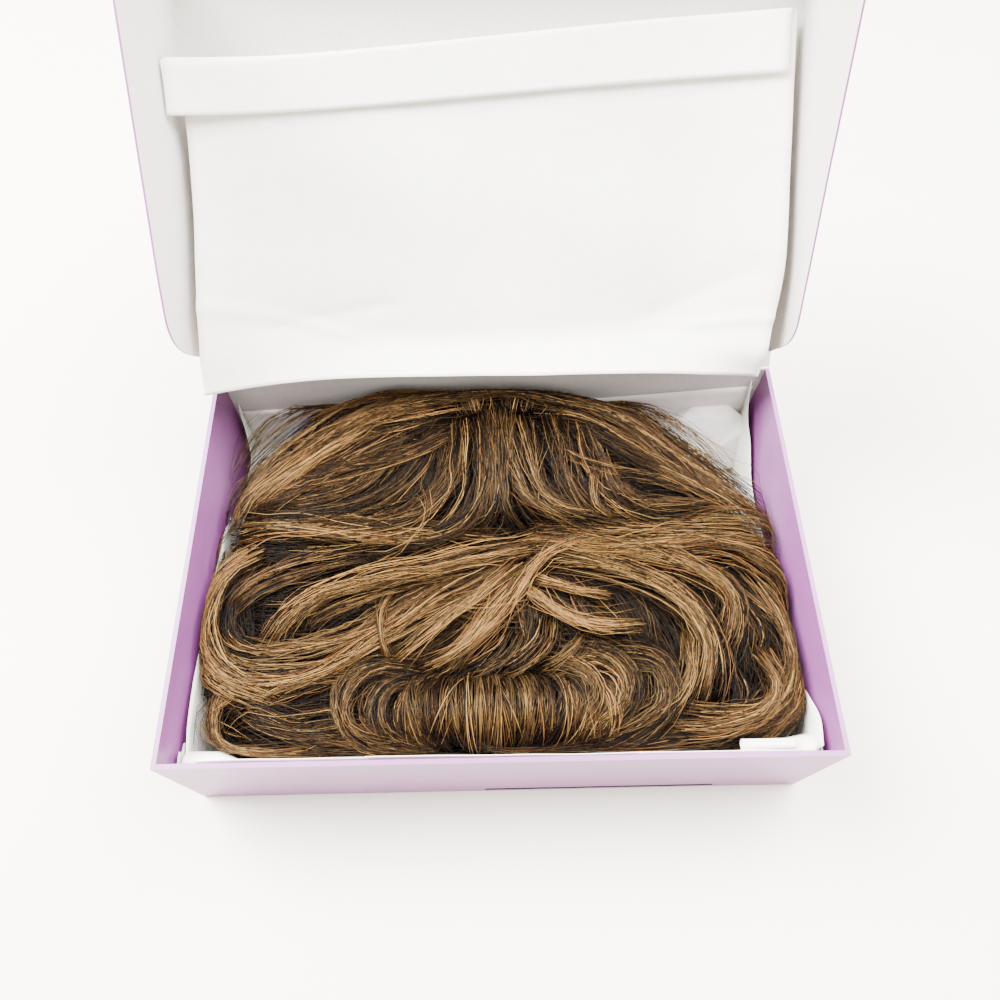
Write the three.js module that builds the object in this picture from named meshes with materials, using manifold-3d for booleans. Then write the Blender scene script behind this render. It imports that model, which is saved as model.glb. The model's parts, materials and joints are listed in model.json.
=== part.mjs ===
// A layered wig lying in its open gift box. Millimetres, +X right, +Y to the hinge, +Z up.
// The origin is the middle of the box's underside.
import * as THREE from 'three';
import { mergeVertices } from 'three/addons/utils/BufferGeometryUtils.js';
import Module from 'manifold-3d';

const wasm = await Module();
wasm.setup();

// Wig cap: a flattened stretch cap, crown to the back, mouth to the front
const CAP_WIDTH = 256;
const CAP_HEIGHT = 52;
const CAP_DEPTH = 128;
const CAP_WALL = 2;
const CAP_SKEW = 12;
const CAP_SECTIONS = [0, 0.2, 0.4, 0.58, 0.72, 0.84, 0.93, 0.985];
// Hair round the cap
const SIDE_HAIR = 30.4;
const FRONT_HAIR = 75;
const BACK_HAIR = 8;
const UNDER_HAIR = 8;
const CROWN_HAIR = 8;
const TOP_HAIR = 8;
const LOCK_RISE = 3;
const EDGE_SHARE = 0.6;
const PASSAGE_WIDTH = 130;
const PASSAGE_HEIGHT = 20;
// Card, paper and the clearances between the pieces
const CARD = 1;
const ROLLED_WALL = 2.4;
const PAPER = 0.8;
const GAP = 0.4;
const EAR_GAP = 1;
const HEADROOM = 5;
const LIP_ROOM = 4.4;
const BACK_ROOM = 6.4;
const LIP_DEPTH = 25;
const LIP_GAP = 2;
const EAR_DEPTH = 78;
const LID_OPEN_DEG = 130;
const TAB_LENGTH = 18;
const SLOT_LENGTH = 127;
const SLOT_START = 0.055;
const SLOT_HEIGHT = 4;
const PAPER_BAND = 27;
const PAPER_LENGTH = 168;

// Sizes that follow from those
const wigWidth = CAP_WIDTH + 2 * SIDE_HAIR;
const wigLength = CAP_DEPTH + FRONT_HAIR + BACK_HAIR;
const paperX = wigWidth / 2 + GAP;
const earX = paperX + PAPER + EAR_GAP;
const boxWidth = 2 * (earX + CARD + EAR_GAP + ROLLED_WALL);
const boxDepth = ROLLED_WALL + LIP_ROOM + wigLength + BACK_ROOM + PAPER + CARD;
const paperZ = CARD + GAP;
const hairZ = paperZ + PAPER + GAP;
const capZ = hairZ + UNDER_HAIR + GAP;
const midZ = capZ + CAP_HEIGHT / 2;
const crownZ = capZ + CAP_HEIGHT + GAP + CROWN_HAIR;
const topZ = crownZ + GAP + TOP_HAIR;
const boxHeight = topZ + HEADROOM;
const frontY = -boxDepth / 2 + ROLLED_WALL + LIP_ROOM;
const backY = frontY + wigLength;
const mouthY = frontY + FRONT_HAIR;

// The wig's outline from above: its left and right edges as shares of the wig's width,
// at shares of its length from the front
const OUTLINE = [
  { along: 0.00, left: 0.130, right: 0.800 },
  { along: 0.03, left: 0.060, right: 0.900 },
  { along: 0.10, left: 0.040, right: 0.980 },
  { along: 0.20, left: 0.025, right: 0.985 },
  { along: 0.30, left: 0.000, right: 0.990 },
  { along: 0.42, left: 0.010, right: 1.000 },
  { along: 0.55, left: 0.030, right: 0.990 },
  { along: 0.68, left: 0.045, right: 0.900 },
  { along: 0.82, left: 0.095, right: 0.815 },
  { along: 0.93, left: 0.175, right: 0.730 },
  { along: 1.00, left: 0.300, right: 0.590 },
];

// How full the hair stands along the wig, as shares of its full height over the middle plane
const FULLNESS = [
  { along: 0.00, full: 0.62 },
  { along: 0.06, full: 0.84 },
  { along: 0.18, full: 0.93 },
  { along: 0.36, full: 0.88 },
  { along: 0.50, full: 0.86 },
  { along: 0.62, full: 0.95 },
  { along: 0.78, full: 1.00 },
  { along: 0.90, full: 0.98 },
  { along: 1.00, full: 0.86 },
];

// Locks that stand out of each layer: the points they pass, as shares of the wig's width and
// length, and the width as a share of the wig's width
const FRINGE_LOCKS = [
  { through: [[0.47, 0.90], [0.45, 0.72], [0.36, 0.60], [0.18, 0.57]], width: 0.060 },
  { through: [[0.41, 0.90], [0.37, 0.76], [0.28, 0.65], [0.11, 0.61]], width: 0.060 },
  { through: [[0.35, 0.89], [0.31, 0.77], [0.22, 0.71], [0.12, 0.68]], width: 0.050 },
  { through: [[0.28, 0.88], [0.22, 0.80], [0.14, 0.73]], width: 0.045 },
  { through: [[0.50, 0.93], [0.50, 0.75], [0.50, 0.60]], width: 0.055 },
  { through: [[0.55, 0.90], [0.55, 0.72], [0.60, 0.62], [0.70, 0.59]], width: 0.055 },
  { through: [[0.61, 0.90], [0.63, 0.76], [0.68, 0.66], [0.76, 0.61]], width: 0.055 },
  { through: [[0.66, 0.88], [0.70, 0.77], [0.76, 0.70], [0.84, 0.67]], width: 0.045 },
];
const LEFT_LOCKS = [
  { through: [[0.05, 0.55], [0.18, 0.56], [0.34, 0.53], [0.48, 0.52]], width: 0.050 },
  { through: [[0.06, 0.46], [0.03, 0.34], [0.05, 0.24], [0.15, 0.15]], width: 0.055 },
  { through: [[0.47, 0.47], [0.30, 0.43], [0.18, 0.36], [0.14, 0.24]], width: 0.050 },
  { through: [[0.48, 0.43], [0.34, 0.34], [0.20, 0.22], [0.07, 0.25]], width: 0.050 },
  { through: [[0.48, 0.36], [0.42, 0.30], [0.35, 0.23]], width: 0.040 },
  { through: [[0.33, 0.40], [0.30, 0.33], [0.33, 0.24]], width: 0.025 },
  { through: [[0.06, 0.16], [0.07, 0.07], [0.16, 0.03], [0.28, 0.03]], width: 0.040 },
  { through: [[0.12, 0.15], [0.18, 0.17], [0.24, 0.18]], width: 0.035 },
];
const RIGHT_LOCKS = [
  { through: [[0.54, 0.51], [0.70, 0.50], [0.88, 0.53], [0.96, 0.47]], width: 0.050 },
  { through: [[0.56, 0.47], [0.74, 0.48], [0.88, 0.40], [0.86, 0.27]], width: 0.055 },
  { through: [[0.55, 0.44], [0.70, 0.43], [0.80, 0.34], [0.82, 0.20], [0.76, 0.12]], width: 0.055 },
  { through: [[0.54, 0.40], [0.61, 0.33], [0.71, 0.30]], width: 0.045 },
  { through: [[0.93, 0.44], [0.96, 0.30], [0.95, 0.17], [0.84, 0.06]], width: 0.050 },
  { through: [[0.90, 0.24], [0.92, 0.14], [0.84, 0.09], [0.74, 0.08]], width: 0.045 },
  { through: [[0.55, 0.36], [0.54, 0.29], [0.53, 0.24]], width: 0.045 },
];
const CROWN_LOCKS = [
  { through: [[0.40, 0.97], [0.25, 0.90], [0.14, 0.76], [0.07, 0.63]], width: 0.045 },
  { through: [[0.55, 0.97], [0.68, 0.92], [0.78, 0.80], [0.87, 0.69]], width: 0.045 },
];
const LEFT_CURL_LOCKS = [
  { through: [[0.35, 0.20], [0.28, 0.19], [0.26, 0.13], [0.29, 0.06], [0.37, 0.03]], width: 0.040 },
  { through: [[0.37, 0.17], [0.32, 0.15], [0.31, 0.10], [0.34, 0.06], [0.38, 0.04]], width: 0.035 },
];
const RIGHT_CURL_LOCKS = [
  { through: [[0.66, 0.23], [0.71, 0.21], [0.72, 0.14], [0.69, 0.07], [0.64, 0.04]], width: 0.035 },
  { through: [[0.72, 0.23], [0.76, 0.19], [0.76, 0.13], [0.73, 0.07]], width: 0.035 },
];

// The rolled curl at the front: its radius at shares of its length, as shares of its height
const ROLL = { left: 0.395, right: 0.635, front: 0.005, back: 0.21, flat: 0.9 };
const ROLL_SECTIONS = [
  { along: 0.00, radius: 0.70 }, { along: 0.12, radius: 0.94 }, { along: 0.24, radius: 0.88 },
  { along: 0.38, radius: 0.98 }, { along: 0.52, radius: 0.90 }, { along: 0.66, radius: 1.00 },
  { along: 0.78, radius: 0.90 }, { along: 0.90, radius: 0.96 }, { along: 1.00, radius: 0.74 },
];

// Top edges of the paper liner's upstands, as shares of the box's depth and height
const LEFT_UPSTAND = [[-0.37, 0.65], [-0.2, 0.66], [0, 0.62], [0.15, 0.5], [0.3, 0.22], [0.46, 0.5]];
const RIGHT_UPSTAND = [[-0.34, 0.62], [-0.2, 0.6], [0, 0.55], [0.23, 0.36], [0.36, 0.51], [0.46, 0.74]];
const BACK_UPSTAND = [[-0.46, 0.5], [-0.3, 0.56], [0, 0.5], [0.25, 0.6], [0.46, 0.74]];
const FRONT_LEFT_UPSTAND = [[-0.46, 0.8], [-0.3, 0.84], [-0.2, 0.82]];
const FRONT_RIGHT_UPSTAND = [[0.2, 0.84], [0.46, 0.76]];
// Where the sheet on the floor ends beside the corner tabs, as a share of the box's depth
const LINER_FRONT = 0.37;
// Folded paper in the front corners, clear of the hair: shares of the wig's width and length
const LEFT_LEDGE = [[0.002, 0.0], [0.105, 0.0], [0.035, 0.03], [0.002, 0.03]];
const RIGHT_LEDGE = [[0.83, 0.0], [0.998, 0.0], [0.998, 0.05], [0.955, 0.05], [0.925, 0.028]];
const LEDGE_TOP = 62;
const LEDGE_BOTTOM = 50;
// Outline of a corner tab, back from its front edge and up, as shares of its length and height
const TAB_OUTLINE = [
  [0, 0], [1, 0], [1, 0.8], [0.72, 0.84], [0.8, 0.92], [0.45, 0.94], [0.5, 1], [0, 1],
];
const TAB_TOP = 0.76;

// Depth of the lid's ears from the hinge outwards, as shares of the lid's length and ear depth
const LEFT_EAR = [
  [0.055, 0], [0.085, 0.55], [0.13, 0.88], [0.17, 1], [0.9, 1], [0.95, 0.75], [0.97, 0.4], [0.97, 0],
];
const RIGHT_EAR = [
  [0.055, 0], [0.08, 0.32], [0.13, 0.58], [0.5, 0.8], [0.86, 1], [0.94, 0.8], [0.97, 0.4], [0.97, 0],
];

// Reads a column of a table at a share, straight between the rows
function readTable(rows, column, along) {
  let after = rows.findIndex((row) => row.along >= along);
  if (after < 0) after = rows.length - 1;
  if (after === 0) return rows[0][column];
  const a = rows[after - 1];
  const b = rows[after];
  const t = Math.min(1, (along - a.along) / (b.along - a.along));
  return a[column] + (b[column] - a[column]) * t;
}

const xAt = (across) => (across - 0.5) * wigWidth;
const yAt = (along) => frontY + along * wigLength;

// Height of the hair's visible surface over a place in the wig, rounded over at its sides
function hairTop(across, along) {
  const left = readTable(OUTLINE, 'left', along);
  const right = readTable(OUTLINE, 'right', along);
  const side = Math.abs((2 * (across - left)) / (right - left) - 1);
  const arch = EDGE_SHARE + (1 - EDGE_SHARE) * Math.sqrt(Math.max(0, 1 - Math.min(1, side) ** 6));
  return midZ + (topZ - LOCK_RISE - midZ) * arch * readTable(FULLNESS, 'full', along);
}

function solidOf(geometry) {
  const bare = geometry.clone();
  bare.deleteAttribute('normal');
  bare.deleteAttribute('uv');
  const merged = mergeVertices(bare, 1e-4);
  return new wasm.Manifold(new wasm.Mesh({
    numProp: 3,
    vertProperties: new Float32Array(merged.attributes.position.array),
    triVerts: new Uint32Array(merged.index.array),
  }));
}

function geometryOf(solid) {
  const mesh = solid.getMesh();
  const geometry = new THREE.BufferGeometry();
  geometry.setAttribute('position', new THREE.BufferAttribute(new Float32Array(mesh.vertProperties), 3));
  geometry.setIndex(new THREE.BufferAttribute(new Uint32Array(mesh.triVerts), 1));
  geometry.computeVertexNormals();
  return geometry;
}

const joined = (solids) => solids.reduce((sum, solid) => sum.add(solid));

// The largest single piece that is left after cutting
function wholePiece(solid) {
  const pieces = solid.decompose();
  return pieces.reduce((best, piece) => (piece.volume() > best.volume() ? piece : best));
}

function meshFrom(positions, triangles) {
  const geometry = new THREE.BufferGeometry();
  geometry.setAttribute('position', new THREE.Float32BufferAttribute(positions, 3));
  geometry.setIndex(triangles);
  return geometry;
}

// A closed skin over rings of points, each ring with as many points, capped by a middle point
function loft(rings) {
  const sides = rings[0].length;
  const positions = [];
  const triangles = [];
  for (const ring of rings) for (const point of ring) positions.push(...point);
  for (let r = 0; r + 1 < rings.length; r += 1) {
    for (let s = 0; s < sides; s += 1) {
      const a = r * sides + s;
      const b = r * sides + ((s + 1) % sides);
      triangles.push(a, b, b + sides, a, b + sides, a + sides);
    }
  }
  for (const end of [0, rings.length - 1]) {
    const centre = [0, 1, 2].map((k) => rings[end].reduce((sum, p) => sum + p[k], 0) / sides);
    const middle = positions.length / 3;
    positions.push(...centre);
    for (let s = 0; s < sides; s += 1) {
      const a = end * sides + s;
      const b = end * sides + ((s + 1) % sides);
      triangles.push(...(end ? [a, b, middle] : [b, a, middle]));
    }
  }
  return outward(solidOf(meshFrom(positions, triangles)), positions, triangles);
}

// Turns a skin whose faces point in
function outward(solid, positions, triangles) {
  if (solid.volume() > 0) return solid;
  const turned = [];
  for (let t = 0; t < triangles.length; t += 3) {
    turned.push(triangles[t], triangles[t + 2], triangles[t + 1]);
  }
  return solidOf(meshFrom(positions, turned));
}

// A closed blanket over a patch: place(s, t) gives x, y, its underside and its top
function blanket(across, along, place) {
  const positions = [];
  const triangles = [];
  const columns = across + 1;
  const layer = columns * (along + 1);
  for (const level of ['low', 'high']) {
    for (let j = 0; j <= along; j += 1) {
      for (let i = 0; i <= across; i += 1) {
        const spot = place(i / across, j / along);
        positions.push(spot.x, spot.y, spot[level]);
      }
    }
  }
  for (let j = 0; j < along; j += 1) {
    for (let i = 0; i < across; i += 1) {
      const a = j * columns + i;
      const b = a + columns;
      triangles.push(a, b + 1, a + 1, a, b, b + 1);
      triangles.push(a + layer, a + 1 + layer, b + 1 + layer, a + layer, b + 1 + layer, b + layer);
    }
  }
  const wall = (a, b) => triangles.push(a, b, b + layer, a, b + layer, a + layer);
  for (let i = 0; i < across; i += 1) {
    wall(i, i + 1);
    wall(along * columns + i + 1, along * columns + i);
  }
  for (let j = 0; j < along; j += 1) {
    wall((j + 1) * columns, j * columns);
    wall(j * columns + across, (j + 1) * columns + across);
  }
  return outward(solidOf(meshFrom(positions, triangles)), positions, triangles);
}

// A flat plate of an outline: points in the plane's two axes, pushed out by its thickness
function plate(points, thickness, toSpace) {
  const shape = new THREE.Shape(points.map(([a, b]) => new THREE.Vector2(a, b)));
  const geometry = new THREE.ExtrudeGeometry(shape, { depth: thickness, bevelEnabled: false });
  return solidOf(geometry.applyMatrix4(toSpace));
}

// Box between two corners
function block(low, high) {
  const size = high.map((value, k) => value - low[k]);
  const geometry = new THREE.BoxGeometry(...size);
  geometry.translate(...low.map((value, k) => value + size[k] / 2));
  return solidOf(geometry);
}

// One lock of hair lying on the surface, widest in the middle and thin at its ends
function lock(row, grow, lift = 0) {
  const sides = 6;
  const steps = 7;
  const curve = new THREE.CatmullRomCurve3(
    row.through.map(([across, along]) => new THREE.Vector3(xAt(across), yAt(along), 0)),
    false, 'centripetal',
  );
  const rings = [];
  for (let step = 0; step <= steps; step += 1) {
    const t = step / steps;
    const point = curve.getPoint(t);
    const tangent = curve.getTangent(t);
    const sideways = new THREE.Vector3(-tangent.y, tangent.x, 0).normalize();
    const taper = 0.35 + 0.65 * Math.sin(Math.PI * Math.min(1, 0.1 + t * 0.9));
    const halfWidth = (row.width * wigWidth * taper) / 2 + grow;
    const halfThick = LOCK_RISE * taper + grow;
    const across = point.x / wigWidth + 0.5;
    const along = (point.y - frontY) / wigLength;
    const middle = hairTop(across, along) + lift;
    const ring = [];
    for (let side = 0; side < sides; side += 1) {
      const angle = (2 * Math.PI * side) / sides;
      const reach = halfWidth * Math.cos(angle);
      const end = (t - 0.5) * 2 * grow;
      ring.push([
        point.x + sideways.x * reach + tangent.x * end,
        point.y + sideways.y * reach + tangent.y * end,
        middle + halfThick * Math.sin(angle),
      ]);
    }
    rings.push(ring);
  }
  return loft(rings);
}

const locks = (rows, grow, lift = 0) => joined(rows.map((row) => lock(row, grow, lift)));

// The cap's half width and half height, from its mouth (0) to its crown (1)
const capSwell = (share) => (1 - share ** 2.4) ** (1 / 2.4);

// Rings of the cap's outside, grown or shrunk all round
function capRings(grow, start, stop) {
  const sides = 28;
  const rings = [];
  for (const share of CAP_SECTIONS) {
    const ring = [];
    const swell = capSwell(share);
    const y = start + share * (stop - start);
    for (let side = 0; side < sides; side += 1) {
      const angle = (2 * Math.PI * side) / sides;
      ring.push([
        -CAP_SKEW * share + (CAP_WIDTH / 2 + grow) * swell * Math.cos(angle),
        y,
        midZ + (CAP_HEIGHT / 2 + grow) * swell * Math.sin(angle),
      ]);
    }
    rings.push(ring);
  }
  return rings;
}

const capBody = (grow) => loft(capRings(grow, mouthY - grow, mouthY + CAP_DEPTH + grow));

function wigCap() {
  const hollow = loft(capRings(-CAP_WALL, mouthY - CAP_WALL, mouthY + CAP_DEPTH - CAP_WALL));
  return capBody(0).subtract(hollow);
}

// The way in to the cap between the upper and the lower hair
function passage() {
  const rings = [frontY - LIP_ROOM, mouthY + CAP_WALL].map((y) => {
    const ring = [];
    for (let side = 0; side < 12; side += 1) {
      const angle = (2 * Math.PI * side) / 12;
      ring.push([
        (PASSAGE_WIDTH / 2) * Math.cos(angle), y, midZ + (PASSAGE_HEIGHT / 2) * Math.sin(angle),
      ]);
    }
    return ring;
  });
  return loft(rings);
}

// A layer of hair over part of the outline: shares of the width between the outline's edges,
// and shares of the wig's length; the depth is measured down from the visible surface
function layer({ from, to, start, stop, columns, rows, high, low }, grow) {
  return blanket(columns, rows, (s, t) => {
    const along = start + (stop - start) * t;
    const left = readTable(OUTLINE, 'left', along);
    const right = readTable(OUTLINE, 'right', along);
    const across = left + (right - left) * (from + (to - from) * s);
    const pushX = (2 * s - 1) * grow;
    const pushY = (2 * t - 1) * grow;
    return {
      x: xAt(across) + pushX,
      y: yAt(along) + pushY,
      low: low(across, along) - grow,
      high: high(across, along) + grow,
    };
  });
}

const belowTop = (depth) => (across, along) => hairTop(across, along) - depth;
const topLayer = (across, along) => hairTop(across, along);
const seamAlong = 0.58;

const fringeHair = (grow) => layer({
  from: 0.08, to: 0.92, start: seamAlong, stop: 0.93, columns: 9, rows: 6,
  high: topLayer, low: belowTop(TOP_HAIR),
}, grow).add(locks(FRINGE_LOCKS, grow));

const leftHair = (grow) => layer({
  from: 0, to: 0.5, start: 0.02, stop: seamAlong, columns: 7, rows: 10,
  high: topLayer, low: () => midZ,
}, grow).add(locks(LEFT_LOCKS, grow));

const rightHair = (grow) => layer({
  from: 0.5, to: 1, start: 0.02, stop: seamAlong, columns: 7, rows: 10,
  high: topLayer, low: () => midZ,
}, grow).add(locks(RIGHT_LOCKS, grow));

const crownHair = (grow) => layer({
  from: 0, to: 1, start: 0.37, stop: 1, columns: 12, rows: 9,
  high: belowTop(GAP), low: () => midZ,
}, grow).add(locks(CROWN_LOCKS, grow));

// The lower layer: the nape hair under and beside the cap, and the lengths in front of it
const mouthAlong = FRONT_HAIR / wigLength;
const lowerHair = (start, stop, rows) => (grow) => layer({
  from: 0, to: 1, start, stop, columns: 12, rows,
  high: () => midZ - GAP, low: () => hairZ,
}, grow);
const napeHair = lowerHair(mouthAlong, 1, 8);
const frontUnderHair = lowerHair(0, mouthAlong - GAP / wigLength, 5);

const leftCurl = (grow) => locks(LEFT_CURL_LOCKS, grow, LOCK_RISE / 2);
const rightCurl = (grow) => locks(RIGHT_CURL_LOCKS, grow, LOCK_RISE / 2);

function frontRoll(grow) {
  const sides = 14;
  const halfDeep = ((ROLL.back - ROLL.front) * wigLength) / 2;
  const centreY = yAt(ROLL.front) + halfDeep;
  const halfHigh = halfDeep * ROLL.flat;
  const rings = ROLL_SECTIONS.map(({ along, radius }) => {
    const ring = [];
    const x = xAt(ROLL.left + (ROLL.right - ROLL.left) * along) + (2 * along - 1) * grow;
    for (let side = 0; side < sides; side += 1) {
      const angle = (2 * Math.PI * side) / sides;
      ring.push([
        x,
        centreY + (halfDeep * radius + grow) * Math.cos(angle),
        topZ - halfHigh + (halfHigh * radius + grow) * Math.sin(angle),
      ]);
    }
    return ring;
  });
  return loft(rings);
}

// The tray: floor, rolled side and front walls, plain back wall, and the slot that shows below
function tray() {
  const x = boxWidth / 2;
  const y = boxDepth / 2;
  const outside = block([-x, -y, 0], [x, y, boxHeight]);
  const inside = block(
    [-x + ROLLED_WALL, -y + ROLLED_WALL, CARD],
    [x - ROLLED_WALL, y - CARD, boxHeight + CARD],
  );
  const slot = block(
    [-x * SLOT_START, -y - CARD, 3 * CARD],
    [SLOT_LENGTH - x * SLOT_START, -y + CARD, 3 * CARD + SLOT_HEIGHT],
  );
  return outside.subtract(inside).subtract(slot);
}

const standUp = new THREE.Matrix4().makeBasis(
  new THREE.Vector3(0, 1, 0), new THREE.Vector3(0, 0, 1), new THREE.Vector3(1, 0, 0),
);
const standAcross = new THREE.Matrix4().makeBasis(
  new THREE.Vector3(1, 0, 0), new THREE.Vector3(0, 0, 1), new THREE.Vector3(0, -1, 0),
);

// A plate that stands front to back, with its left face at x
const sidePlate = (points, thickness, x) => plate(
  points, thickness, new THREE.Matrix4().makeTranslation(x, 0, 0).multiply(standUp),
);

// White card ends of the rolled front wall, each with a hooked notch
function cornerTab(x) {
  const y = -boxDepth / 2 + ROLLED_WALL + GAP;
  const high = boxHeight * TAB_TOP - paperZ;
  const points = TAB_OUTLINE.map(([back, up]) => [y + back * TAB_LENGTH, paperZ + up * high]);
  return sidePlate(points, CARD, x);
}

function upstand(rows, x) {
  const points = rows.map(([along, up]) => [along * boxDepth, up * boxHeight]);
  const first = points[0][0];
  const last = points[points.length - 1][0];
  return sidePlate([[first, paperZ], [last, paperZ], ...points.reverse()], PAPER, x);
}

// A sheet that stands across the box, with its front face at y
function acrossPlate(rows, y) {
  const points = rows.map(([across, up]) => [across * boxWidth, up * boxHeight]);
  const first = points[0][0];
  const last = points[points.length - 1][0];
  const place = new THREE.Matrix4().makeTranslation(0, y + PAPER, 0).multiply(standAcross);
  return plate([[first, paperZ], [last, paperZ], ...points.reverse()], PAPER, place);
}

function cornerLedge(rows) {
  const points = rows.map(([across, along]) => [xAt(across), yAt(along) - PAPER]);
  return plate(points, LEDGE_TOP - LEDGE_BOTTOM, new THREE.Matrix4().makeTranslation(0, 0, LEDGE_BOTTOM));
}

// White paper under the wig, standing up along the walls and crumpled in the back right corner.
// Its front leaves the way in to the cap free.
function paperLiner() {
  const y = backY + BACK_ROOM - GAP;
  const front = frontY - GAP - PAPER;
  const tabX = paperX * 0.97;
  const sheet = block(
    [-paperX - PAPER, -boxDepth * LINER_FRONT, paperZ], [paperX + PAPER, y + PAPER, paperZ + PAPER],
  );
  const apron = block([-tabX, front, paperZ], [tabX, CARD - boxDepth * LINER_FRONT, paperZ + PAPER]);
  const crumple = loft([
    [[0.30, 0.40, 0.02], [0.37, 0.33, 0.02], [0.44, 0.36, 0.02], [0.45, 0.43, 0.02], [0.38, 0.456, 0.02]],
    [[0.31, 0.42, 0.40], [0.38, 0.36, 0.34], [0.43, 0.38, 0.44], [0.45, 0.44, 0.52], [0.39, 0.454, 0.56]],
  ].map((ring) => ring.map(([a, b, c]) => [a * boxWidth, b * boxDepth, c * boxHeight])));
  return joined([
    sheet, apron, crumple, acrossPlate(BACK_UPSTAND, y),
    acrossPlate(FRONT_LEFT_UPSTAND, front), acrossPlate(FRONT_RIGHT_UPSTAND, front),
    cornerLedge(LEFT_LEDGE), cornerLedge(RIGHT_LEDGE),
    upstand(LEFT_UPSTAND, -paperX - PAPER), upstand(RIGHT_UPSTAND, paperX),
  ]);
}

// The lid is drawn closed, t back from the hinge to the front and q down into the box, and then
// turned open about the hinge line on the back wall's top edge
const hingeY = boxDepth / 2;
const lidLength = boxDepth - ROLLED_WALL - LIP_GAP;
const earPoints = (rows) => rows.map(([t, q]) => [hingeY - t * lidLength, boxHeight - q * EAR_DEPTH]);

function lidPanel() {
  const x = boxWidth / 2;
  const panel = block([-x, hingeY - lidLength, boxHeight + GAP], [x, hingeY - CARD / 2, boxHeight + GAP + CARD]);
  const lip = block(
    [-earX + 3 * CARD, hingeY - lidLength, boxHeight - LIP_DEPTH],
    [earX - 3 * CARD, hingeY - lidLength + CARD, boxHeight + GAP + CARD],
  );
  const ears = [[LEFT_EAR, -earX - CARD], [RIGHT_EAR, earX]].map(([rows, left]) => {
    const points = earPoints(rows);
    points[0][1] = boxHeight + GAP + CARD / 2;
    points[points.length - 1][1] = boxHeight + GAP + CARD / 2;
    return sidePlate(points, CARD, left);
  });
  return joined([panel, lip, ...ears]);
}

// White sheet on the lid's inside, with its far end folded over into a double band
function lidPaper() {
  const x = paperX;
  const near = hingeY - 3 * CARD;
  const far = hingeY - PAPER_LENGTH;
  const top = boxHeight;
  const wave = (s) => 1.6 * PAPER * (1 + Math.sin(s * 5.5));
  const sheet = blanket(10, 6, (s, t) => {
    const sag = wave(s) * Math.sin(Math.PI * Math.min(1, 0.15 + t));
    return { x: x * (2 * s - 1), y: near + (far - near) * t, low: top - PAPER - sag, high: top - sag };
  });
  const band = blanket(10, 1, (s, t) => ({
    x: x * (2 * s - 1) * 0.98,
    y: far - PAPER / 2 + PAPER_BAND * t,
    low: top - 3.4 * PAPER - 2 * PAPER * (1 - t),
    high: top - 0.2 * PAPER - 2 * PAPER * (1 - t),
  }));
  return sheet.add(band);
}

const group = new THREE.Group();

function addMesh(parent, name, solid, color, roughness) {
  const mesh = new THREE.Mesh(geometryOf(solid), new THREE.MeshStandardMaterial({ color, roughness, metalness: 0 }));
  mesh.name = name;
  parent.add(mesh);
}

const LILAC = 0xcbb0d8;
const WHITE_CARD = 0xd8d5d0;
const WHITE_PAPER = 0xf2f1ee;
const CAP_NET = 0x4a3a30;
const DARK_HAIR = 0x4a3524;
const BROWN_HAIR = 0x755638;
const GOLD_HAIR = 0x94703f;

addMesh(group, 'tray', tray(), LILAC, 0.5);
addMesh(group, 'left_corner_tab', cornerTab(-earX + CARD / 2), WHITE_CARD, 0.7);
addMesh(group, 'right_corner_tab', cornerTab(earX - 1.5 * CARD), WHITE_CARD, 0.7);
addMesh(group, 'paper_liner', paperLiner(), WHITE_PAPER, 0.9);
addMesh(group, 'wig_cap', wigCap(), CAP_NET, 0.9);

// Each layer of hair gives way to the ones that lie on it
const capRoom = capBody(GAP).add(passage());
const layers = [
  ['front_roll', frontRoll, GOLD_HAIR],
  ['left_front_curl', leftCurl, BROWN_HAIR],
  ['right_front_curl', rightCurl, BROWN_HAIR],
  ['fringe_hair', fringeHair, BROWN_HAIR],
  ['left_side_hair', leftHair, GOLD_HAIR],
  ['right_side_hair', rightHair, GOLD_HAIR],
  ['crown_hair', crownHair, BROWN_HAIR],
  ['nape_hair', napeHair, DARK_HAIR],
  ['front_under_hair', frontUnderHair, DARK_HAIR],
];
let taken = capRoom;
for (const [name, build, color] of layers) {
  addMesh(group, name, wholePiece(build(0).subtract(taken)), color, 0.6);
  taken = taken.add(build(GAP));
}

// The lid turns about the hinge line
const lid = new THREE.Group();
const turned = new THREE.Group();
lid.position.set(0, hingeY, boxHeight);
lid.rotation.x = THREE.MathUtils.degToRad(-LID_OPEN_DEG);
turned.position.set(0, -hingeY, -boxHeight);
addMesh(turned, 'lid', lidPanel(), WHITE_CARD, 0.7);
addMesh(turned, 'lid_paper', lidPaper(), WHITE_PAPER, 0.9);
lid.add(turned);
group.add(lid);

export default group;
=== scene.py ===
"""A layered wig lying in its lidded card box: fibres, board, paper and a plain studio."""

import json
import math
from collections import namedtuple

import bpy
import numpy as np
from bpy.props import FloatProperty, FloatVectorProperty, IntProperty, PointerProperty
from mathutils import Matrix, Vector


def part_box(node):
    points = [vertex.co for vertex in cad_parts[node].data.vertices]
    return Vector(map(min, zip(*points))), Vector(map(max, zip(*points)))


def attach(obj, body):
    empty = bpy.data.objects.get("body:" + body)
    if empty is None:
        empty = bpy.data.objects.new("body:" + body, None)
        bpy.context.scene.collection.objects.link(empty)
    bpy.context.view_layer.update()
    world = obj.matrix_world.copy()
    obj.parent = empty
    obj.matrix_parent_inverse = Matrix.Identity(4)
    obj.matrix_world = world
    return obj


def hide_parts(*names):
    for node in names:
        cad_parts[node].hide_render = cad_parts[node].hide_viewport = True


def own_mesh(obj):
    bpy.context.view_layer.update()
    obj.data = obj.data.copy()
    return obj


bl_info = {
    "name": "Layered wig in its box",
    "version": (1, 0, 0),
    "blender": (4, 5, 0),
    "location": "3D View > Sidebar > Wig",
    "description": "Builds the wig's locks fibre by fibre, its card box, papers and a pale studio",
    "category": "Object",
}

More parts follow.
